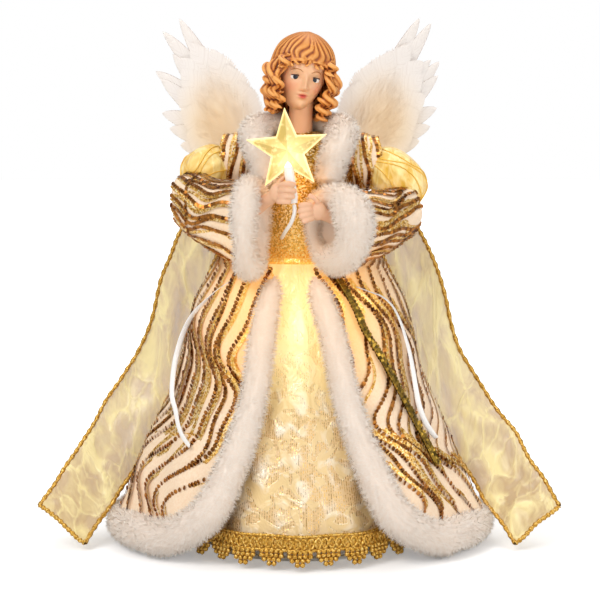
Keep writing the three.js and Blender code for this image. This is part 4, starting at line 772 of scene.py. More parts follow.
def star_finish():
    """Clear polystyrene lit from inside: gold in its depth, with bright rims, facets and spots of light."""
    made, tree, shader = material("lit_polystyrene", "#E0C366", {"Roughness": 0.12, "IOR": 1.58,
                                                               "Transmission Weight": 0.25})
    place = node(tree, "ShaderNodeTexCoord").outputs["Object"]
    inside = node(tree, "ShaderNodeVectorMath", {0: place, 1: STAR * MM}, operation="SUBTRACT")
    parts = node(tree, "ShaderNodeSeparateXYZ", {"Vector": inside.outputs["Vector"]})
    angle = node(tree, "ShaderNodeMath", {0: parts.outputs["Z"], 1: parts.outputs["X"]}, operation="ARCTAN2")
    turned = node(tree, "ShaderNodeMath", {0: angle.outputs["Value"], 1: TURN * 5.25 - TURN / 2 - STAR_TILT})
    folded = node(tree, "ShaderNodeMath", {0: turned.outputs["Value"], 1: TURN / 10}, operation="PINGPONG")
    flat = node(tree, "ShaderNodeCombineXYZ", {"X": parts.outputs["X"], "Y": parts.outputs["Z"]})
    reach = node(tree, "ShaderNodeVectorMath", {0: flat.outputs["Vector"]}, operation="LENGTH")
    sine = node(tree, "ShaderNodeMath", {0: folded.outputs["Value"]}, operation="SINE")
    cosine = node(tree, "ShaderNodeMath", {0: folded.outputs["Value"]}, operation="COSINE")
    half = TURN / 10
    lean = (STAR_R - STAR_INNER_R * math.cos(half)) / (STAR_INNER_R * math.sin(half))
    side = node(tree, "ShaderNodeMath", {0: sine.outputs["Value"], 1: lean, 2: cosine.outputs["Value"]},
                operation="MULTIPLY_ADD")
    outward = node(tree, "ShaderNodeMath", {0: side.outputs["Value"], 1: reach.outputs["Value"]},
                   operation="MULTIPLY")
    painted_rim = node(tree, "ShaderNodeMapRange", {"Value": outward.outputs["Value"], "From Min": 0.8 * STAR_R * MM,
                                            "From Max": 0.97 * STAR_R * MM}, interpolation_type="SMOOTHSTEP")
    bulb = node(tree, "ShaderNodeVectorMath", {0: inside.outputs["Vector"], 1: Vector((1, -4, -7)) * MM},
                operation="DISTANCE")
    near_bulb = node(tree, "ShaderNodeMapRange", {"Value": bulb.outputs["Value"], "From Min": 3 * MM,
                                                  "From Max": 17 * MM, "To Min": 0.9, "To Max": 0})
    facing = node(tree, "ShaderNodeNewGeometry").outputs["True Normal"]
    tilt = node(tree, "ShaderNodeVectorMath", {0: facing, 1: (0.4, -0.1, 0.3)}, operation="DOT_PRODUCT")
    spark = node(tree, "ShaderNodeTexNoise", {"Vector": place, "Scale": per(3.5), "Detail": 3})
    glint = node(tree, "ShaderNodeMapRange",
                 {"Value": spark.outputs["Fac"], "From Min": 0.52, "From Max": 0.72, "To Max": 0.7})
    lit = node(tree, "ShaderNodeMath", {0: painted_rim.outputs["Result"], 1: tilt.outputs["Value"]})
    warmed = node(tree, "ShaderNodeMath", {0: lit.outputs["Value"], 1: near_bulb.outputs["Result"]})
    level = node(tree, "ShaderNodeMath", {0: warmed.outputs["Value"], 1: glint.outputs["Result"]})
    # The shell's emission is painted light: bright rims, facets lit by their tilt, a pool around the bulb and noise
    # glints
    shine = node(tree, "ShaderNodeMapRange",
                 {"Value": level.outputs["Value"], "From Max": 1.5, "To Min": 0.03, "To Max": 0.85})
    shader.inputs["Emission Color"].default_value = colour("#FFF6CC")
    tree.links.new(shine.outputs["Result"], shader.inputs["Emission Strength"])
    return made


def lamp_finish(name, code, strength):
    """A lit lens: its own light hides its surface."""
    made, tree, shader = material(name, code, {"Roughness": 0.3, "Emission Strength": strength})
    place = node(tree, "ShaderNodeTexCoord").outputs["Object"]
    spread = node(tree, "ShaderNodeTexNoise", {"Vector": place, "Scale": per(3)})
    ramp = node(tree, "ShaderNodeValToRGB", {"Fac": spread.outputs["Fac"]}, [(0.2, code), (0.8, "#FFFBE8")])
    tree.links.new(ramp.outputs["Color"], shader.inputs["Emission Color"])
    return made


FUR = fur_finish()
SATIN = satin_finish()
STRIPE = glitter_finish("gold_glitter_stripe", "#AA6E1E", "#F2BE5C")
BODICE = glitter_finish("gold_glitter_cloth", "#8C5A18", "#DDA93F")
BROWN_SEQUIN = sequin_finish("brown_sequin", "#5E2E0C", "#C8843A")
GOLD_SEQUIN = sequin_finish("gold_sequin", "#57430F", "#CDA443")
BROCADE = brocade_finish()
BRAID = braid_finish()
STOLE = organza_finish("pale_gold_organza", "#B68C30", "#F3E09C", 12, 0.8)
PUFF = organza_finish("gold_organza", "#F0BC30", "#FFEBA4", 8, 0.7, 0.12)
FEATHER = feather_finish("goose_quill_feather", False)
COVERT = feather_finish("goose_covert", True)
DOWN = down_finish()
RIBBON = ribbon_finish()
SKIN = skin_finish()
HAIR = hair_finish()
LIT_STAR = star_finish()
BULB = lamp_finish("warm_lamp", "#FFD36B", 4)
WHITE_PLASTIC = speckled("white_abs", "#F1EEE8", {"Roughness": 0.4}, 0.6, 0.05)
ACETAL = speckled("acetal", "#EDEBE4", {"Roughness": 0.35}, 0.5, 0.04)
RUBBER = speckled("black_rubber", "#1C1C1E", {"Roughness": 0.75}, 0.4, 0.08)
STEEL = speckled("zinc_plated_steel", "#B9BBBD", {"Roughness": 0.32, "Metallic": 1}, 0.8, 0.03)
GILT = speckled("gilt_wire", "#F0C04C", {"Roughness": 0.35, "Metallic": 0.4}, 0.6, 0.05)
WRAP = speckled("cotton_wrap", "#EFE0BC", {"Roughness": 0.9}, 0.6, 0.1)
BACKING = speckled("felt_backing", "#F2ECE4", {"Roughness": 0.95, "Sheen Weight": 0.4}, 0.7, 0.2)
EYE_LINE = speckled("brown_paint", "#4A2C1C", {"Roughness": 0.5}, 0.5, 0.02)
BROW = speckled("light_brown_paint", "#B97C48", {"Roughness": 0.5}, 0.5, 0.02)
EYE_WHITE = speckled("white_paint", "#F5F1EA", {"Roughness": 0.3}, 0.5, 0.02)
IRIS = speckled("blue_grey_paint", "#1B202C", {"Roughness": 0.2}, 0.5, 0.02)


# Cloth


def coat_edge(height, trim):
    """Angle where the coat's front edge lies, hidden under the fur of one side."""
    rows = [(point[2], abs(point[0]), -point[1]) for point in reversed(trim)]
    across, ahead = profile(rows)(height)
    half, front, _ = profile(COAT_LEVELS)(height)
    under_fur = math.atan2(across / half, ahead / front)
    low, high = COAT_OPENS
    return mix(under_fur, COAT_OPEN_ANGLE, min(1, max(0, (height - low) / (high - low))))


def coat(u, v, lift=0):
    """The coat at a share round it from its left front edge, by the back, and at a share up it."""
    u = min(max(u, 0), 1)
    height = mix(COAT_LEVELS[0][0], COAT_LEVELS[-1][0], v)
    start = coat_edge(height, LEFT_TRIM)
    end = TURN - coat_edge(height, RIGHT_TRIM)
    angle = mix(start, end, u)
    foot, waist = COAT_HANGS
    below = max(0, 1 - (height - foot) / (waist - foot))
    fold = COAT_FOLD_DEPTH * below * math.cos(COAT_FOLDS * angle)
    crease = 2.2 * noise.noise(Vector((angle * 5, height / 45, 0)))
    return egg(angle, profile(COAT_LEVELS), height, fold + crease * min(1, below + 0.1) + lift)


def underskirt(u, v, lift=0):
    """The brocade skirt at a share round it from the back, and a share up it."""
    height = mix(UNDERSKIRT_LEVELS[0][0], UNDERSKIRT_LEVELS[-1][0], v)
    angle = TURN * (u - 0.5)
    fold = SKIRT_FOLD_DEPTH * (1 - height / WAIST) * math.cos(SKIRT_FOLDS * angle)
    crumple = 2.2 * noise.noise(Vector((angle * 6, height / 30, 4)))
    return egg(angle, profile(UNDERSKIRT_LEVELS), height, fold + crumple + lift)


def bodice(u, v, lift=0):
    """The glitter bodice, from the waist up to the neck."""
    height = mix(WAIST, YOKE_LEVELS[-1][0], v)
    return egg(BODICE_WRAP * (u - 0.5), profile(TORSO_LEVELS + YOKE_LEVELS), height, BODICE_OFF + lift)


def lower_sleeve(side):
    """The bell sleeve of one arm, from its closed elbow to the cuff."""
    arm = ARMS[side]
    start = Vector(arm["elbow"])
    end = Vector(arm["cuff"])
    way = (end - start).normalized()
    wide_start = way.cross(UP).normalized()
    wide_end = Vector(arm["across"]).normalized()
    if wide_start.dot(wide_end) < 0:
        wide_start = -wide_start

    def place(u, v, lift=0):
        closing = math.sqrt(min(1, v / 0.1))
        high = mix(12, arm["tall"] + 3.8, math.sqrt(v)) * closing + lift
        broad = mix(12, arm["wide"] + 1.9, math.sqrt(v)) * closing + lift
        angle = TURN * u
        crumple = noise.noise(Vector((math.cos(angle), math.sin(angle), v * 2.5)))
        fold = 1 + 0.05 * math.cos(5 * angle) + 0.07 * crumple
        across = wide_start.lerp(wide_end, v * v).normalized()
        middle = start.lerp(end, v) - UP * (3 * math.sin(math.pi * v))
        return middle + (across * (broad * math.cos(angle)) + UP * (high * math.sin(angle))) * fold

    return place


def upper_sleeve(side):
    """The short sleeve cap on one shoulder, at a share out along the arm and a share round it.

    Its back is flatter than its front, which leaves room for the wing at its wide spread.
    """
    start, end = (Vector(point) for point in ARMS[side]["cap"])
    way = (end - start).normalized()
    over = UP - way * UP.dot(way)
    ahead = way.cross(over)

    def place(u, v, lift=0):
        size = mix(*CAP_R, u * u) + lift
        angle = TURN * v
        deep = ahead * (size * 0.88 * math.sin(angle))
        if deep.y > 0:
            deep *= CAP_BACK
        return start.lerp(end, u) - over * (size * math.cos(angle)) + deep

    return place


def sleeve_puff(side):
    """The organza ball over one elbow; its ends are gathered in, the lower one down to the bell sleeve."""
    start, end = (Vector(point) for point in ARMS[side]["puff"])
    to_sleeve = Vector(ARMS[side]["elbow"]) - end
    radius = ARMS[side]["puff_r"]
    way = (end - start).normalized()
    over = (UP - way * UP.dot(way)).normalized()
    ahead = way.cross(over)

    def place(u, v, lift=0):
        angle = TURN * u
        polar = math.pi * mix(0.05, 0.95, v)
        gathered = max(0, abs(2 * v - 1) - 0.75) / 0.25
        crumple = noise.noise(Vector((2 * math.cos(angle), 2 * math.sin(angle), v * 3)))
        gather = 1 + 0.02 * math.cos(13 * angle + 3 * v) + 0.06 * crumple
        size = radius * math.sin(polar) * gather + 1.4 * gathered * math.cos(16 * angle) + lift
        middle = start.lerp(end, 0.5 - 0.5 * math.cos(polar))
        if v > 0.5:
            middle += to_sleeve * gathered ** 2
        return middle + over * (size * math.cos(angle)) + ahead * (size * math.sin(angle))

    return place


def stole(u, v, lift=0):
    """The stole at a share across it, and a share along it from the left tail's end to the right one's."""
    mirrored = [((-x, y, z), (-way[0], *way[1:]), share) for (x, y, z), way, share in reversed(STOLE_SIDE)]
    rows = STOLE_SIDE + [STOLE_BACK] + mirrored
    line = smooth_line([point for point, _, _ in rows])
    middle = line(v)
    ahead = line(v + 0.004) - line(v - 0.004)
    across = smooth_line([way for _, way, _ in rows])(v).normalized()
    width = STOLE_WIDTH * profile([(index / (len(rows) - 1), row[2]) for index, row in enumerate(rows)])(v)
    out = ahead.cross(across).normalized()
    tail = min(1, abs(v - 0.5) * 3)
    crush = 2.2 * noise.noise(Vector((u * 3.1, v * 21, 1))) + 1.3 * tail * math.sin(u * 9 + v * 31)
    crush += 1.3 * tail * noise.noise(Vector((u * 4, v * 62, 3)))
    wander = 2.4 * tail * noise.noise(Vector((u * 1.5, v * 26, 7)))
    return middle + across * (width * (u - 0.5) + wander) + out * (crush + lift)


def run(points):
    """Length of a line through points."""
    return sum((b - a).length for a, b in zip(points, points[1:]))


def cloth_piece(name, surface, faces, finish, replaced, slot):
    """A cloth over a surface, with a number of faces across and along, in place of one CAD node."""
    bm = bmesh.new()
    closed_grid(bm, *faces, surface)
    return piece(name, bm, finish, replaced=(replaced,), slot=slot)


def declare_cloth(cloth, surface, widest, held, rests_on, trims=()):
    """Declares a cloth and its area, cut flat from its widest row by its middle line."""
    width = run([surface(step / 80, widest) for step in range(81)])
    length = run([surface(0.5, step / 80) for step in range(81)])
    area = min(sum(face.area for face in cloth.data.polygons), width * length * MM ** 2)
    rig.sheet(cloth, flat=(width * MM, length * MM), held=held, rests_on=[rests_on], area=area,
             with_pieces=list(trims))


def on_path(surface, path, up, lift):
    """A point of a path on a surface, the way off the surface there and the way across the path."""
    low, high = max(0, up - 0.01), min(1, up + 0.01)
    point = surface(path(up), up, lift)
    off = (surface(path(up), up, lift + 1) - point).normalized()
    ahead = surface(path(high), high, lift) - surface(path(low), low, lift)
    return point, off, ahead.cross(off).normalized()


def strip(bm, surface, path, low, high, width, aside=0, steps=40):
    """A tapering band beside a path on a surface; path gives the share round for a share up."""

    def place(u, v):
        point, _, across = on_path(surface, path, mix(low, high, v), 0.3)
        taper = mix(0.35, 1, math.sin(math.pi * v) ** 0.6)
        return point + across * (aside + width * taper * (u - 0.5))

    grid(bm, 2, steps, place)


def add_sequin(bm, place, facing, radius):
    """One flat round sequin."""
    turn = facing.to_track_quat("Z", "Y").to_matrix().to_4x4()
    bmesh.ops.create_circle(bm, cap_ends=True, segments=8, radius=radius,
                            matrix=Matrix.Translation(place) @ turn)


def sequin_row(bm, surface, path, low, high, size):
    """A row of overlapping sequins along a path on a surface, each tilted a little its own way."""
    row = bmesh.new()
    last = None
    for step in range(SEQUIN_STEPS + 1):
        point, off, _ = on_path(surface, path, mix(low, high, step / SEQUIN_STEPS), 0.8)
        if last and (point - last).length < SEQUIN_PITCH * size:
            continue
        tilt = Vector([chance.uniform(-0.3, 0.3) for _ in range(3)])
        add_sequin(row, point, off + tilt, SEQUIN_R * size)
        last = point
    pour(row, bm)


def flowing(start, sway, waves, phase):
    """A stripe's path: a share round the cloth that flows from side to side as it climbs."""
    return lambda up: start + sway * (1.15 - up) * (
        math.sin(TURN * (waves * up + phase)) + 0.3 * math.sin(TURN * (2.3 * waves * up + 2.7 * phase)))


def meeting(path, above, below, low, high):
    """A stripe that bends into one neighbour at its upper end and into the other at its lower end."""

    def bent(up):
        share = (up - low) / (high - low)
        top = min(1, max(0, (share - 0.6) / 0.4)) ** 2
        bottom = min(1, max(0, (0.35 - share) / 0.35)) ** 2
        return mix(mix(path(up), above(up), top), below(up), bottom)

    return bent


def striped(name, surface, faces, replaced, count, span, sway, waves, size=1):
    """A cloth with flowing stripes, some of sequins beside glitter and some that fork from one to the next.

    The span gives the shares up it where stripes start, where most end and where every fourth one ends.
    """
    low, top, far = span
    width = BAND_WIDTH * size
    beads = math.sqrt(size)
    cloth = cloth_piece(name, surface, faces, SATIN, replaced, "coat_satin")
    bands = bmesh.new()
    rounds = bmesh.new()
    paths = [flowing((index + 0.5) / count, sway, waves, 1.7 * index / count) for index in range(count)]
    for index, path in enumerate(paths):
        if index % 2 == 0:
            end = far if index % 4 == 0 else top
            strip(bands, surface, path, low, end, width, 0.8 * width)
            sequin_row(rounds, surface, path, low, end, beads)
            continue
        start = mix(low, top, chance.choice((0, 0, 0, 0.2)))
        end = mix(low, top, chance.uniform(0.65, 0.98))
        forked = meeting(path, paths[index - 1], paths[(index + 1) % count], start, end)
        strip(bands, surface, forked, start, end, 0.9 * width)
        if chance.random() < 0.5:
            sequin_row(rounds, surface, forked, start, end, beads)
    trims = [piece(name + "_glitter", bands, STRIPE, slot="coat_satin"),
             piece(name + "_sequins", rounds, BROWN_SEQUIN, slot="sequins")]
    return cloth, trims


def dress_coat():
    """The striped coat, which closes at the back and opens in front."""
    cloth, trims = striped("coat_cloth", coat, (240, 130), "coat", **COAT_STRIPES)
    declare_cloth(cloth, coat, 0, "hung", "torso_rear_shell", trims)


def dress_arm(side):
    """One arm's bell sleeve, its cap at the shoulder and the wired organza puff between them."""
    wire = f"{side}_arm_wire"
    bell = lower_sleeve(side)
    cloth, trims = striped(f"{side}_bell_sleeve", bell, (72, 40), f"{side}_lower_sleeve", **SLEEVE_STRIPES)
    declare_cloth(cloth, bell, 1, "hung", wire, trims)
    cap = upper_sleeve(side)
    cloth, trims = striped(f"{side}_sleeve_cap", cap, (16, 64), f"{side}_upper_sleeve", **CAP_STRIPES)
    declare_cloth(cloth, cap, 0, "hung", wire, trims)
    ball = sleeve_puff(side)
    puff = cloth_piece(f"{side}_organza_puff", ball, (96, 40), PUFF, f"{side}_sleeve_puff", "organza")
    wires = bmesh.new()
    for turn in PUFF_WIRES:

        def route(v):
            return ball(turn + 0.09 * math.sin(4 * v + 9 * turn), v, 0.3)

        tube(wires, route, round_ends(0.38), 6, 40)
    trims = [piece(f"{side}_puff_wires", wires, GILT, slot="gold_braid")]
    declare_cloth(puff, ball, 0.5, "gathered", wire, trims)


def dress_front():
    """The brocade skirt and the glitter bodice, which show between the coat's fronts."""
    skirt = cloth_piece("brocade_skirt", underskirt, (200, 90), BROCADE, "underskirt", "brocade")
    declare_cloth(skirt, underskirt, 0, "hung", "tree_cone")
    front = cloth_piece("glitter_bodice", bodice, (80, 48), BODICE, "bodice", "sequins")
    declare_cloth(front, bodice, 0.6, "stretched", "torso_front_shell")


def hang_stole():
    """The stole with its wire edges, behind the back and down both sides."""
    bm = bmesh.new()
    grid(bm, 22, 260, stole)
    cloth = piece("organza_stole", bm, STOLE, replaced=("stole",), slot="organza")

    def twisted(turns):
        return lambda share: STOLE_EDGE_R * (1 + 0.25 * math.sin(share * turns))

    edges = bmesh.new()
    for u in (0.0, 1.0):
        tube(edges, lambda v: stole(u, v), twisted(700), 6, 520)
    for v in (0.0, 1.0):
        tube(edges, lambda u: stole(u, v), twisted(70), 6, 60)
    wire = piece("stole_wire_edges", edges, BRAID, slot="gold_braid")
    length = run([stole(0.5, step / 200) for step in range(201)]) * MM
    area = sum(face.area for face in cloth.data.polygons)
    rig.sheet(cloth, flat=(STOLE_WIDTH * MM, length), held="draped", rests_on=["coat"],
             area=min(area, STOLE_WIDTH * MM * length), with_pieces=[wire])


def hem_braid():
    """Scalloped gold braid round the skirt's hem: a ribbed heading, a looping cord and beaded points."""
    levels = profile(UNDERSKIRT_LEVELS)
    scallops = 27
    ribs = 260

    def at(u, height, out):
        point = egg(TURN * (u - 0.5), levels, 13, 2.2 + out)
        fold = SKIRT_FOLD_DEPTH * 0.92 * math.cos(SKIRT_FOLDS * TURN * (u - 0.5))
        return Vector((point.x, point.y, height)) + Vector((point.x, point.y, 0)).normalized() * fold

    def heading(u, v):
        rib = abs(math.sin(math.pi * ribs * u))
        return at(u, mix(14.5, 23, v), 0.4 + 0.6 * rib + 0.4 * math.sin(math.pi * v))

    bm = bmesh.new()
    closed_grid(bm, ribs * 4, 4, heading)
    for height, size in ((23.2, 1.0), (14.2, 1.1)):
        tube(bm, lambda v: at(v, height, 1.2), lambda v: size * (1 + 0.2 * math.sin(TURN * 130 * v)), 6, 520)
    for shift in (0, 0.5):

        def loops(v):
            return at(v, 18.6 + 3.2 * math.sin(TURN * (scallops * 2 * v + shift)), 1.6)

        tube(bm, loops, lambda v: 0.9, 6, 660)
    for index in range(scallops):
        middle = (index + 0.5) / scallops
        for row, beads in enumerate((5, 5, 4, 2)):
            for bead in range(beads):
                aside = (bead - (beads - 1) / 2) * 0.175 / scallops
                spot = at(middle + aside, 13.2 - 2.7 * row, 1.4)
                bmesh.ops.create_icosphere(bm, subdivisions=1, radius=2, matrix=Matrix.Translation(spot))
    piece("gold_braid_hem", bm, BRAID, replaced=("hem_braid",), slot="gold_braid")


# Cords


def cord_piece(name, points, radius, finish, stands_for, slot, flat=1, twist=0):
    """A free cord along its given route, and what is declared of it: its route, length and thickness."""
    line = smooth_line(points)
    bm = bmesh.new()
    tube(bm, line, round_ends(radius, 0.012), 10, 120, flat, twist)
    made = piece(name, bm, finish, replaced=(stands_for,), slot=slot)
    route = [line(step / CORD_STEPS) * MM for step in range(CORD_STEPS + 1)]
    facts = dict(exit=tuple(route[0]), length=run(route), diameter=2 * radius * MM, lay="hanging",
                 path=[tuple(point) for point in route])
    return made, facts


def ties():
    """The two white ribbon ties."""
    for name, points in (("left_tie", LEFT_TIE), ("right_tie", RIGHT_TIE)):
        tie, facts = cord_piece(name + "_ribbon", points, 1.8, RIBBON, name, "white_ribbon", 0.24, 2.4)
        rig.cord(tie, far_end="bare", stiffness="limp", **facts)


def sequin_tail():
    """The tape that hangs from the belt, with three rows of sequins on both of its faces."""
    tape, facts = cord_piece("sequin_tail_tape", SEQUIN_TAIL, 2.5, GOLD_SEQUIN, "sequin_tail", "sequins", 0.3)
    bm = bmesh.new()
    for point, side, up in carried(smooth_line(SEQUIN_TAIL), 74):
        for place in (-1.7, 0, 1.7):
            for face in (-1, 1):
                facing = up * face + side * chance.uniform(-0.4, 0.4)
                add_sequin(bm, point + side * place + up * (face * 0.95), facing, 1.15)
    sequins = piece("sequin_tail_sequins", bm, GOLD_SEQUIN, slot="sequins")
    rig.cord(tape, far_end="bare", stiffness="limp", with_pieces=[sequins], **facts)


def star_cable():
    """The star's cable, from its socket into the bodice."""
    cable, facts = cord_piece("star_lead", STAR_CABLE, 1.3, WHITE_PLASTIC, "star_cable", "white_socket")
    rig.cord(cable, far_end="object", stiffness="medium", **facts)


# Fur


def strand(name, length, width, lean, finish, rows=1):
    """One tapering hair on the origin that leans off +Z, with its share from root to tip as an attribute."""
    bm = bmesh.new()

    def place(u, v):
        angle = lean * (0.8 + 0.2 * v)
        along = length * v
        return Vector(((u - 0.5) * width * (1 - v), along * math.sin(angle), along * math.cos(angle)))

    grid(bm, 1, rows, place, lambda u, v: v)
    bmesh.ops.remove_doubles(bm, verts=bm.verts, dist=0.01 * width)
    bmesh.ops.scale(bm, vec=(MM, MM, MM), verts=bm.verts)
    mesh = bpy.data.meshes.new(name)
    bm.to_mesh(mesh)
    bm.free()
    mesh.materials.append(finish)
    made = bpy.data.objects.new(name, mesh)
    bpy.context.scene.collection.objects.link(made)
    return made


def grow_hair(grown_on, hair, density, away_from, spread, seed):
    """Covers a piece with copies of a hair that lean away from a point, shaded as the surface below them.

    The density is in hairs to a square millimetre.
    """
    tree = bpy.data.node_groups.new("hair_cover", "GeometryNodeTree")
    tree.interface.new_socket("Geometry", in_out="INPUT", socket_type="NodeSocketGeometry")
    tree.interface.new_socket("Geometry", in_out="OUTPUT", socket_type="NodeSocketGeometry")
    skin = node(tree, "NodeGroupInput").outputs["Geometry"]
    points = node(tree, "GeometryNodeDistributePointsOnFaces",
                  {"Mesh": skin, "Density": density * 1e6, "Seed": seed})
    scatter = node(tree, "FunctionNodeRandomValue", {0: (-0.25,) * 3, 1: (0.25,) * 3, "Seed": seed + 1},
                   data_type="FLOAT_VECTOR")
    away = node(tree, "ShaderNodeVectorMath", {0: points.outputs["Normal"], 1: scatter.outputs[0]})
    stand = node(tree, "FunctionNodeAlignRotationToVector", {"Vector": away.outputs["Vector"]}, axis="Z")
    here = node(tree, "GeometryNodeInputPosition").outputs["Position"]
    comb = node(tree, "ShaderNodeVectorMath", {0: here, 1: away_from}, operation="SUBTRACT")
    combed = node(tree, "FunctionNodeAlignRotationToVector",
                  {"Rotation": stand.outputs["Rotation"], "Vector": comb.outputs["Vector"]},
                  axis="Y", pivot_axis="Z")
    spin = node(tree, "FunctionNodeRandomValue", {0: (0, 0, -spread), 1: (0, 0, spread), "Seed": seed + 2},
                data_type="FLOAT_VECTOR")
    turn = node(tree, "FunctionNodeEulerToRotation", {0: spin.outputs[0]})
    spun = node(tree, "FunctionNodeRotateRotation",
                {0: combed.outputs["Rotation"], 1: turn.outputs["Rotation"]}, rotation_space="LOCAL")
    size = node(tree, "FunctionNodeRandomValue", {2: 0.6, 3: 1.15, "Seed": seed + 3}, data_type="FLOAT")
    source = node(tree, "GeometryNodeObjectInfo", {"Object": hair})
    copies = node(tree, "GeometryNodeInstanceOnPoints",
                  {"Points": points.outputs["Points"], "Instance": source.outputs["Geometry"],
                   "Rotation": spun.outputs["Rotation"], "Scale": size.outputs[1]})
    lies = node(tree, "GeometryNodeStoreNamedAttribute",
                {"Geometry": copies.outputs["Instances"], "Name": "lie", "Value": points.outputs["Normal"]},
                data_type="FLOAT_VECTOR", domain="INSTANCE")
    real = node(tree, "GeometryNodeRealizeInstances", {"Geometry": lies.outputs["Geometry"]})
    faced = node(tree, "GeometryNodeInputNormal").outputs["Normal"]
    core = node(tree, "GeometryNodeStoreNamedAttribute", {"Geometry": skin, "Name": "lie", "Value": faced},
                data_type="FLOAT_VECTOR", domain="POINT")
    joined = node(tree, "GeometryNodeJoinGeometry")
    tree.links.new(real.outputs["Geometry"], joined.inputs["Geometry"])
    tree.links.new(core.outputs["Geometry"], joined.inputs["Geometry"])
    node(tree, "NodeGroupOutput", {"Geometry": joined.outputs["Geometry"]})
    cover = grown_on.modifiers.new("hair", "NODES")
    cover.node_group = tree
    grown = bpy.data.meshes.new_from_object(grown_on.evaluated_get(bpy.context.evaluated_depsgraph_get()))
    grown_on.modifiers.clear()
    grown_on.data = grown
    grown.shade_smooth()
    grown.normals_split_custom_set_from_vertices([item.vector[:] for item in grown.attributes["lie"].data])
    grown.attributes.remove(grown.attributes["lie"])
    for vert in grown.vertices:
        vert.co.z = max(vert.co.z, 0.2 * MM)


def fur_trim(hair):
    """The fur strip down both coat fronts and round the hem."""
    half, front, back = FUR_HEM_OVAL
    hem = []
    steps = 30
    for step in range(1, steps):
        angle = -mix(FUR_HEM_ANGLE, TURN - FUR_HEM_ANGLE, step / steps)
        depth = front if math.cos(angle) > 0 else back
        hem.append((half * math.sin(angle), -depth * math.cos(angle), FUR_HEM_HEIGHT))
    route = RIGHT_TRIM + hem + list(reversed(LEFT_TRIM))
    sizes = FUR_SHARES + [1] * len(hem) + list(reversed(FUR_SHARES))
    radius = profile([(index / (len(sizes) - 1), FUR_R * size) for index, size in enumerate(sizes)])

    def thick(v):
        uneven = 1 + 0.08 * noise.noise(Vector((v * 60, 0, 0)))
        return (radius(v) - FUR_CORE) * uneven * min(1, math.sqrt(min(v, 1 - v) * 60 + 0.02))

    bm = bmesh.new()
    tube(bm, smooth_line(route), thick, 20, 320)
    trim = piece("white_fur_trim", bm, FUR, replaced=("coat_fur_trim",), slot="white_fur")
    grow_hair(trim, hair, 1.3, HIGH_ABOVE, 2, 3)


def fur_cuff(hair, side):
    """The fur ring of one cuff, and the lining that closes it behind the hand."""
    arm = ARMS[side]
    centre = Vector(arm["cuff"])
    across = Vector(arm["across"]).normalized()
    inward = (Vector(arm["elbow"]) - centre).normalized()

    def ring(v):
        angle = TURN * v
        return centre + across * (arm["wide"] * math.cos(angle)) + UP * (arm["tall"] * math.sin(angle))

    def thick(v):
        return CUFF_R - FUR_CORE + arm["swell"] * math.cos(TURN * v) + math.sin(TURN * v * 3)

    def lining(u, v):
        return centre + (ring(u) - centre) * (1 - 0.98 * v) + inward * (14 * v * (2 - v))

    bm = bmesh.new()
    tube(bm, ring, thick, 20, 90)
    closed_grid(bm, 40, 6, lining)
    cuff = piece(f"{side}_white_cuff", bm, FUR, replaced=(f"{side}_fur_cuff",), slot="white_fur")
    grow_hair(cuff, hair, 1.6, HIGH_ABOVE, 2, 7)


def fur_collar(hair):
    """The fur collar round the neck, with a lapel on each side."""
    around = profile([(index / (len(COLLAR) - 1), size) for index, (_, size) in enumerate(COLLAR)])

    def thick(v):
        return (around(v) - FUR_CORE) * min(1, math.sqrt(min(v, 1 - v) * 40 + 0.02))

    bm = bmesh.new()
    tube(bm, smooth_line([point for point, _ in COLLAR]), thick, 20, 120)
    collar = piece("white_fur_collar", bm, FUR, replaced=("fur_collar",), slot="white_fur")
    grow_hair(collar, hair, 1.6, HIGH_ABOVE, 2, 11)


def fur():
    """All the fur: each piece is a core covered with copies of one hair."""
    hair = strand("fur_hair", HAIR_LENGTH, HAIR_WIDTH, HAIR_LEAN, FUR)
    fur_trim(hair)
    for side in ARMS:
        fur_cuff(hair, side)
    fur_collar(hair)
    bpy.data.objects.remove(hair)


# Wings


def wing_place(side):
    """A point of one wing from its distance out, its height and its depth in front of the arm."""

    def place(out, height, depth):
        across = out * math.cos(WING_SWEEP) + depth * math.sin(WING_SWEEP)
        back = out * math.sin(WING_SWEEP) - depth * math.cos(WING_SWEEP)
        return Vector((side * (HINGE_X + across), HINGE_Y + back, height))

    return place


def feather(bm, place, root, angle, length, width, depth, curl, point=4):
    """One cambered feather; point says how sharply its tip closes."""
    way = math.radians(angle)
    sway = chance.uniform(-0.07, 0.07)

    def blade(u, v):
        side = 2 * u - 1
        half = width / 2 * min(1, (v / 0.3 + 0.03) ** 0.6) * max(0, 1 - v ** point) ** 0.7
        along = length * v
        bend = way + sway * v * v
        out = root[0] + along * math.cos(bend) - side * half * math.sin(bend)
        height = root[1] + along * math.sin(bend) + side * half * math.cos(bend)
        return place(out, height, depth + 0.3 * (1 - side * side) + curl * v * v)

    grid(bm, 10, 40, blade)


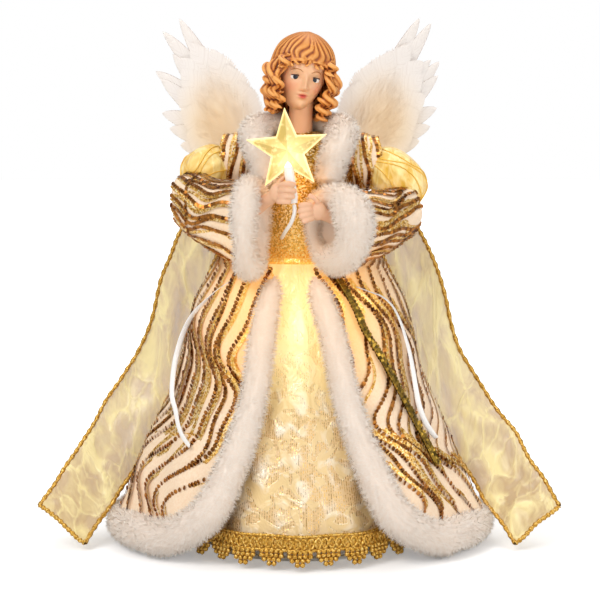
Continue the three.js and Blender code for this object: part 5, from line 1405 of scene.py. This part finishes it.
def wing(name, side):
    """One wing: long feathers behind, rounded ones before them, and down over most of the rounded ones."""
    place = wing_place(side)
    body = f"{name}_wing"
    reach = profile(sorted(SHORT_FEATHERS))
    out, height = FEATHER_ROOT
    bm = bmesh.new()
    for index, (angle, length) in enumerate(LONG_FEATHERS):
        feather(bm, place, FEATHER_ROOT, angle, length, LONG_WIDTH, 3.2 + 0.15 * index, 1.5, 4)
    piece(f"{name}_flight_feathers", bm, FEATHER, body, (f"{name}_wing_long_feathers",), "feather")
    bm = bmesh.new()
    for index, (angle, length) in enumerate(SHORT_FEATHERS):
        feather(bm, place, FEATHER_ROOT, angle, length, SHORT_WIDTH, 5.2 + 0.05 * index, 1.5, 6)
    piece(f"{name}_covert_feathers", bm, COVERT, body, (f"{name}_wing_short_feathers",), "feather")

    def patch(u, v):
        angle = mix(-16, 90, u)
        far = mix(0.1, DOWN_SHARE, v) * reach(angle)
        way = math.radians(angle)
        depth = 5.8 + 1.2 * math.sin(math.pi * v) - 2 * u ** 8
        return place(out + far * math.cos(way), height + far * math.sin(way), depth)

    bm = bmesh.new()
    grid(bm, 40, 20, patch)
    down = piece(f"{name}_marabou", bm, DOWN, body, (f"{name}_wing_down",), "feather",
                 toward=Vector((0, -1, 0)))
    plume = strand(f"{name}_plume", 13, 0.45, math.radians(83), DOWN, 3)
    grow_hair(down, plume, 0.32, place(out, height, 6) * MM, 0.4, 21)
    bpy.data.objects.remove(plume)


# Doll


# Head before it is turned: levels as (height, half width, front depth, back depth), and the bumps and hollows
# of the face as (place across, height, width, tallness, rise), both sides alike
HEAD_ROWS = [(-25.5, 0.4, 2, 6), (-24, 4.2, 9.5, 9), (-21, 7.4, 14, 12), (-16, 10.8, 16, 14),
             (-9, 14, 17.4, 16), (-2, 15.4, 18, 17), (8, 15.2, 17.4, 17), (16, 12, 14, 14),
             (22, 6.4, 7.6, 8), (24, 0.6, 0.8, 1)]
FACE = [(0, -2.7, 1.6, 3, 1.6), (0, -6.6, 1.6, 3, 2.6), (0, -9.5, 1.9, 1.6, 3), (2, -10.2, 1, 1, 1.1),
        (6, 1.8, 4.2, 1.6, 0.8), (6.3, -3, 3.6, 2.3, -1.7), (8.4, -9.2, 4.2, 4, 0.9),
        (1.4, -13.4, 1.8, 0.8, 1.2), (0, -15.7, 2.3, 0.95, 1.4), (0, -14.5, 3.2, 0.4, -0.8),
        (0, -17.9, 2.6, 0.9, -0.6), (0, -21.5, 3.4, 2.4, 1.4)]
FACE_TONE = "#EAB88C"
# The hands' tone is a little darker than the face's: painted shade, as the hands are held in shadow
SHADED_HAND_TONE = "#E4B592"
NECK = [(0, -3, 266), (0, -3, 276), (0.6, -4, 290), (1, -4, 298)]
NECK_R = [(0, 13), (0.2, 9.5), (0.5, 8), (1, 8)]
EYE = (6.3, -3)
EYE_R = 3.7
BROW_LINE = ((2.6, 0.7), (5.2, 2.1), (8.2, 2), (10.4, 0.6))


def face_rise(x, z):
    """How far the face stands out at a place, from rounded bumps on both sides."""
    total = 0
    for across, up, wide, high, rise in FACE:
        for side in ((1, -1) if across else (1,)):
            total += rise * math.exp(-((x - side * across) / wide) ** 2 - ((z - up) / high) ** 2)
    return total


def face_point(x, z, out=0):
    """A place on the front of the face, before the head is turned."""
    half, front, _ = profile(HEAD_ROWS)(z)
    round_share = math.sqrt(max(0, 1 - (x / half) ** 2))
    return Vector((x, -front * round_share - face_rise(x, z) * round_share - out, z))


def head_at(point):
    """A point of the head in the figure's frame."""
    return HEAD + HEAD_TURN.to_matrix() @ Vector(point)


def near(x, z, across, up, wide, high):
    """How much of a dab of paint falls on a place of the face; both sides get the dab."""
    return math.exp(-((abs(x) - across) / wide) ** 2 - ((z - up) / high) ** 2)


def paint_skin(made, code, face=False):
    """Paints the skin in one tone; a face gets blush, coral lips and warm painted shade in its eye hollows, under its
    nose and under its chin.
    """
    paints = (code, "#E69878", "#D65A48", "#A04236", "#D09066")
    skin, blush, lip, gap, shade = (Vector(colour(paint)[:3]) for paint in paints)
    layer = made.data.color_attributes.new("paint", "FLOAT_COLOR", "POINT")
    back = HEAD_TURN.to_matrix().inverted()
    for vert, dab in zip(made.data.vertices, layer.data):
        place = back @ (vert.co / MM - HEAD)
        tone = skin.copy()
        if face and place.y < -6:
            tone = tone.lerp(blush, 0.6 * near(place.x, place.z, 8.2, -9.4, 4, 3.6))
            mouth = near(place.x, place.z, 0, -14.8, 3.4, 2)
            tone = tone.lerp(lip, min(1, 2.2 * max(0, mouth - 0.33)))
            tone = tone.lerp(gap, 0.8 * near(place.x, place.z, 0, -14.5, 3, 0.35))
            # Painted shade in the eye hollows and under the nose
            tone = tone.lerp(shade, 0.5 * near(place.x, place.z, 6.3, -2.6, 4, 2.6))
            tone = tone.lerp(shade, 0.7 * near(place.x, place.z, 0, -11.3, 2.6, 0.8))
        # Painted shade under the chin
        if face:
            tone = tone.lerp(shade, min(1, max(0, (-22 - place.z) / 5)) * 0.45)
        dab.color = (*tone, 1)


def melt(made, voxel, rounds):
    """Joins the overlapping parts of a piece into one smooth skin."""
    join = made.modifiers.new("join", "REMESH")
    join.mode = "VOXEL"
    join.voxel_size = voxel * MM
    soften = made.modifiers.new("soften", "SMOOTH")
    soften.iterations = rounds
    whole = bpy.data.meshes.new_from_object(made.evaluated_get(bpy.context.evaluated_depsgraph_get()))
    made.modifiers.clear()
    made.data = whole
    whole.shade_smooth()


def paint_groove_shade(made, depth=0.42):
    """Painted shade and highlight: grooves are marked dark and ridges light, by how far each point lies off a smoothed
    copy of the piece.
    """
    bm = bmesh.new()
    bm.from_mesh(made.data)
    for _ in range(16):
        bmesh.ops.smooth_vert(bm, verts=bm.verts, factor=0.5, use_axis_x=True, use_axis_y=True,
                              use_axis_z=True)
    layer = made.data.attributes.new("shade", "FLOAT", "POINT")
    for vert, smoothed, mark in zip(made.data.vertices, bm.verts, layer.data):
        rise = (vert.co - smoothed.co).dot(vert.normal)
        mark.value = min(1, max(0, 0.5 + rise / (depth * MM)))
    bm.free()


def doll_head():
    """Head with its face, on a neck that widens at its foot."""
    rows = profile(HEAD_ROWS)

    def skull(u, v):
        angle = TURN * u
        z = mix(HEAD_ROWS[0][0], HEAD_ROWS[-1][0], v)
        half, front, back = rows(z)
        x = half * math.sin(angle)
        ahead = math.cos(angle)
        y = -front * ahead - face_rise(x, z) * ahead if ahead > 0 else -back * ahead
        return head_at((x, y, z))

    bm = bmesh.new()
    closed_grid(bm, 176, 130, skull)
    tube(bm, smooth_line(NECK), profile(NECK_R), 32, 24)
    head = piece("doll_head", bm, SKIN, replaced=("head_and_hair",), slot="doll_skin")
    paint_skin(head, FACE_TONE, face=True)


def eyes():
    """Painted eyes under half-lowered lids, with lash lines and brows."""
    white = bmesh.new()
    iris = bmesh.new()
    lids = bmesh.new()
    lines = bmesh.new()
    brows = bmesh.new()
    across, up = EYE
    for side in (1, -1):
        middle = face_point(side * across, up) + Vector((0, 2.8, 0))
        turned = Matrix.Translation(HEAD) @ HEAD_TURN.to_matrix().to_4x4() @ Matrix.Translation(middle)
        bmesh.ops.create_uvsphere(white, u_segments=24, v_segments=16, radius=EYE_R, matrix=turned)
        gaze = turned @ Matrix.Translation((-0.3, -EYE_R + 0.62, -0.1)) @ Matrix.Diagonal((1.8, 0.75, 1.8, 1))
        bmesh.ops.create_uvsphere(iris, u_segments=20, v_segments=12, radius=1, matrix=gaze)
        for edge, kept in ((1.25, 1), (-1.8, -1)):
            ball = bmesh.ops.create_uvsphere(lids, u_segments=28, v_segments=20, radius=EYE_R + 0.3)["verts"]
            edges = list({item for vert in ball for item in vert.link_edges})
            faces = list({item for vert in ball for item in vert.link_faces})
            cut = bmesh.ops.bisect_plane(lids, geom=ball + edges + faces, plane_co=(0, 0, edge),
                                         plane_no=(0, 0, -kept), clear_outer=True)
            left = [item for item in cut["geom"] if isinstance(item, bmesh.types.BMVert) and item.is_valid]
            bmesh.ops.transform(lids, matrix=turned, verts=left)
        reach = EYE_R + 0.35
        lash = [turned @ Vector((math.sin(a) * reach, -math.cos(a) * reach, 1.25 - 0.6 * a * a))
                for a in (-1.05, -0.6, 0, 0.6, 1.05)]
        tube(lines, smooth_line(lash), round_ends(0.46, 0.3), 6, 20)
        brow = [head_at(face_point(side * x, z, 0.1)) for x, z in BROW_LINE]
        tube(brows, smooth_line(brow), round_ends(0.36, 0.4), 6, 20)
    piece("eye_whites", white, EYE_WHITE, slot="doll_skin")
    piece("eye_irises", iris, IRIS, slot="doll_skin")
    lid = piece("eye_lids", lids, SKIN, slot="doll_skin")
    paint_skin(lid, FACE_TONE)
    piece("lash_lines", lines, EYE_LINE, slot="doll_skin")
    piece("brows", brows, BROW, slot="doll_skin")


# Hair before the head is turned: levels as the head's, the angle of its front edge at each height, and each
# ringlet of one side as (across, depth, height, drop, size)
HAIR_ROWS = [(-31, 15, 12, 16), (-26, 20, 15, 20), (-16, 23, 18, 22), (-6, 22.5, 19, 23),
             (4, 21.5, 20.5, 23.5), (14, 19, 19.5, 22), (21, 14, 15, 17), (25.5, 7, 8, 9),
             (27, 0.5, 0.5, 0.6)]
HAIR_EDGE = profile([(-31, 1.5), (-20, 1.15), (-10, 0.95), (0, 0.84), (6, 0.62), (10, 0.02), (27, 0.0)])
RINGLETS = ((17, -13, 7, 17, 2.4), (20.5, -9, 7, 20, 2.8), (22, -3, 3, 20, 3), (18, -13.5, -5, 13, 2.6),
            (20.5, -8, -8, 13, 3), (16, -15, 11, 10, 2), (15, -12, -14, 11, 2.5), (22, -5, -6, 16, 2.4),
            (18, -6, -17, 12, 2.6))
FOREHEAD_CURLS = 12


def hair_cap(u, v):
    """The waved cap of hair, at a share round the head from its front edge and a share up it."""
    foot, crown = HAIR_ROWS[0][0], HAIR_ROWS[-1][0]
    z = mix(foot, crown, v)
    edge = HAIR_EDGE(z)
    angle = mix(edge, TURN - edge, u)
    half, front, back = profile(HAIR_ROWS)(z)
    depth = front if math.cos(angle) > 0 else back
    warp = 1.5 * math.sin(z / 4.2 + 2 * math.sin(2 * angle))
    warp += 1.6 * noise.noise(Vector((angle * 2, z / 7, 5)))
    wave = abs(math.sin(14 * angle + warp))
    grow = 1.1 * wave * min(1, (crown - z) / 8) - 0.5
    return head_at(((half + grow) * math.sin(angle), -(depth + grow) * math.cos(angle), z))


def curl(bm, start, drop, turns, wide, size, lean):
    """A lock of three strands wound together, which itself winds down."""
    for third in range(3):

        def line(v):
            angle = TURN * turns * v + lean
            wound = TURN * third / 3 + 4 * v
            aside = Vector((wide * math.cos(angle), wide * math.sin(angle) - 1.5 * v, -drop * v))
            middle = Vector(start) + aside
            return head_at(middle + Vector((math.cos(wound), math.sin(wound), 0)) * (0.6 * size))

        tube(bm, line, round_ends(0.6 * size, 0.3), 8, 36)


def hair():
    """A waved cap of hair with curls at the forehead and ringlets down both sides, in one moulded piece."""
    shell = bmesh.new()
    closed_grid(shell, 240, 90, hair_cap)
    bmesh.ops.solidify(shell, geom=shell.faces[:], thickness=2.5)
    bm = bmesh.new()
    for side in (1, -1):
        for index, (x, y, z, drop, size) in enumerate(RINGLETS):
            curl(bm, (side * x, y, z), drop, 0.9 + 0.15 * index, 2.4, size, index * 1.3 + side)
    for index in range(FOREHEAD_CURLS):
        x = -13 + 2.4 * index
        z = 11 - 0.022 * x * x + 0.8 * math.sin(index * 2.1)
        drop = 4.6 + 1.6 * math.sin(index * 1.7)
        curl(bm, (x, -18.2 + 0.03 * x * x, z), drop, 0.7, 1.2, 1.05, index * 0.9)
    pour(shell, bm)
    curls = piece("curled_hair", bm, HAIR, slot="doll_skin")
    melt(curls, 0.5, 2)
    paint_groove_shade(curls)


# Hands: the wrist's line, the palm's middle and half sizes, and each finger's line, with the thumb last
RIGHT_HAND = dict(wrist=[(-30, -50, 226), (-22, -55, 233), (-15, -60, 238)],
                  palm=((-14, -61, 239), (5.5, 4, 6.5)),
                  fingers=[[(-14, -64, 243.5), (-8.5, -68, 245), (-2.5, -66, 244)],
                           [(-14, -64.5, 240), (-8, -68.5, 241), (-2, -66, 240)],
                           [(-14, -64, 236.5), (-8.5, -68, 237), (-3, -66, 236.5)],
                           [(-15, -63.5, 233.5), (-10, -67, 233.5), (-5.5, -65.5, 233.5)],
                           [(-15, -60, 243), (-11, -59, 248), (-6, -60, 250.5)]])
LEFT_HAND = dict(wrist=[(26, -50, 220), (20, -54, 223), (13, -58, 226)],
                 palm=((11, -58.5, 227), (6.5, 3.8, 6)),
                 fingers=[[(8, -61, 231.5), (3, -63, 231.5), (-1.2, -62, 230.5)],
                          [(8, -61, 228.5), (3, -63.5, 228), (-1.6, -62.5, 226.8)],
                          [(8, -61, 225.5), (3.5, -63.5, 224.7), (-0.8, -62.5, 223.2)],
                          [(9, -60.5, 222.8), (5, -63, 221.8), (1, -62.5, 220.4)],
                          [(12, -60, 232), (8.5, -62, 236), (5, -62.5, 237.5)]])


def hands():
    """Both hands: palm and fingers melted into one skin."""
    for side, shape in (("right", RIGHT_HAND), ("left", LEFT_HAND)):
        bm = bmesh.new()
        tube(bm, smooth_line(shape["wrist"]), round_ends(4.2, 0.1), 16, 20)
        spot, size = shape["palm"]
        bmesh.ops.create_uvsphere(bm, u_segments=24, v_segments=16, radius=1,
                                  matrix=Matrix.Translation(spot) @ Matrix.Diagonal((*size, 1)))
        for finger in shape["fingers"]:
            tube(bm, smooth_line(finger), round_ends(1.75, 0.16), 12, 24)
        hand = piece(f"{side}_doll_hand", bm, SKIN, replaced=(f"{side}_hand",), slot="doll_skin")
        melt(hand, 0.45, 4)
        paint_skin(hand, SHADED_HAND_TONE)


# Frame nodes that stay as they are


def finish_nodes():
    """Gives each CAD node that shows its own real finish."""
    screws = [f"torso_screw_{index}" for index in range(1, 5)]
    lamps = [f"skirt_light_{index}" for index in range(1, 5)]
    lamps = [f"skirt_light_{index}" for index in range(1, 5)]
    finishes = {
        WHITE_PLASTIC: ["tree_cone", "light_ring", "torso_front_shell", "torso_rear_shell", "star_socket",
                        "drive_plate", "top_plate"],
        RUBBER: ["lead_gland"],
        ACETAL: ["crank", "wing_rack", "left_wing_shaft", "right_wing_shaft"],
        STEEL: ["gear_motor", *screws],
        WRAP: ["left_arm_wire", "right_arm_wire"],
        BULB: ["star_bulb", *lamps],
        LIT_STAR: ["star_front_shell", "star_back_shell"],
        BODICE: ["belt"],
        BACKING: ["left_wing_panel", "right_wing_panel"],
    }
    for finish, names in finishes.items():
        for name in names:
            mesh = frame["nodes"][name].data
            mesh.materials.clear()
            mesh.materials.append(finish)


# Stage


def light(name, place, size, power, tint="#FFFFFF"):
    """A soft square lamp aimed at the figure's middle."""
    lamp = bpy.data.lights.new(name, "AREA")
    lamp.size = size
    lamp.energy = power
    lamp.color = colour(tint)[:3]
    made = bpy.data.objects.new(name, lamp)
    made.location = place
    made.rotation_euler = (Vector((0, 0, 0.17)) - Vector(place)).to_track_quat("-Z", "Y").to_euler()
    bpy.context.scene.collection.objects.link(made)


def lay_floor():
    """Pale paper floor, which keeps the shadow and fades to white away from it."""
    bm = bmesh.new()
    bmesh.ops.create_grid(bm, x_segments=1, y_segments=1, size=6)
    mesh = bpy.data.meshes.new("floor")
    bm.to_mesh(mesh)
    bm.free()
    floor = bpy.data.objects.new("floor", mesh)
    bpy.context.scene.collection.objects.link(floor)
    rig.stage(floor)
    pale, tree, shader = material("white_paper", "#F4F4F4", {"Roughness": 0.9})
    seen = node(tree, "ShaderNodeLightPath").outputs["Is Camera Ray"]
    place = node(tree, "ShaderNodeTexCoord").outputs["Object"]
    away = node(tree, "ShaderNodeVectorMath", {0: place}, operation="LENGTH")
    fade = node(tree, "ShaderNodeMapRange",
                {"Value": away.outputs["Value"], "From Min": 0.2, "From Max": 0.6, "To Min": 0.3,
                 "To Max": 1})
    lift = node(tree, "ShaderNodeMath", {0: fade.outputs["Result"], 1: seen}, operation="MULTIPLY")
    shader.inputs["Emission Color"].default_value = colour("#FFFFFF")
    tree.links.new(lift.outputs["Value"], shader.inputs["Emission Strength"])
    mesh.materials.append(pale)


def light_studio():
    """White surround, three soft lamps and the star's own warm light on the hands and the fur."""
    world = bpy.data.worlds.new("studio")
    bpy.context.scene.world = world
    world.use_nodes = True
    sky = world.node_tree
    back = sky.nodes["Background"]
    back.inputs["Color"].default_value = colour("#FFFFFF")
    paths = node(sky, "ShaderNodeLightPath").outputs["Is Camera Ray"]
    level = node(sky, "ShaderNodeMapRange", {"Value": paths, "To Min": 0.5, "To Max": 1})
    sky.links.new(level.outputs["Result"], back.inputs["Strength"])
    light("key", (-0.7, -1.1, 1.2), 0.9, 13)
    light("fill", (1.1, -1.2, 0.5), 1.2, 8)
    light("top", (0.2, 0.3, 1.5), 1.0, 7)
    star = bpy.data.lights.new("star_light", "POINT")
    star.energy = 0.018
    star.color = colour("#FFC070")[:3]
    star.shadow_soft_size = 0.02
    inside = bpy.data.objects.new("star_light", star)
    inside.location = (STAR + Vector((9, 14, -26))) * MM
    bpy.context.scene.collection.objects.link(inside)


def aim_camera():
    """The camera, at the photograph's angle."""
    lens = bpy.data.cameras.new("photo_camera")
    lens.lens = CAMERA_LENS
    lens.sensor_width = 36
    camera = bpy.data.objects.new("photo_camera", lens)
    away = Vector((0, -math.cos(CAMERA_ELEVATION), math.sin(CAMERA_ELEVATION))) * CAMERA_AWAY
    camera.location = CAMERA_TARGET + away
    camera.rotation_euler = (-away).to_track_quat("-Z", "Y").to_euler()
    bpy.context.scene.collection.objects.link(camera)
    bpy.context.scene.camera = camera
    bpy.context.scene.view_settings.view_transform = "Standard"


lay_floor()
light_studio()
aim_camera()
finish_nodes()
ties()
sequin_tail()
star_cable()
dress_coat()
for arm_side in ARMS:
    dress_arm(arm_side)
dress_front()
hang_stole()
hem_braid()
fur()
wing("left", 1)
wing("right", -1)
doll_head()
eyes()
hair()
hands()

boxes = {"cad": [list(corner) for corner in CAD_BOX], "visual": [list(corner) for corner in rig.bounds()]}
with open("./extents.json", "w") as record:
    json.dump(boxes, record)
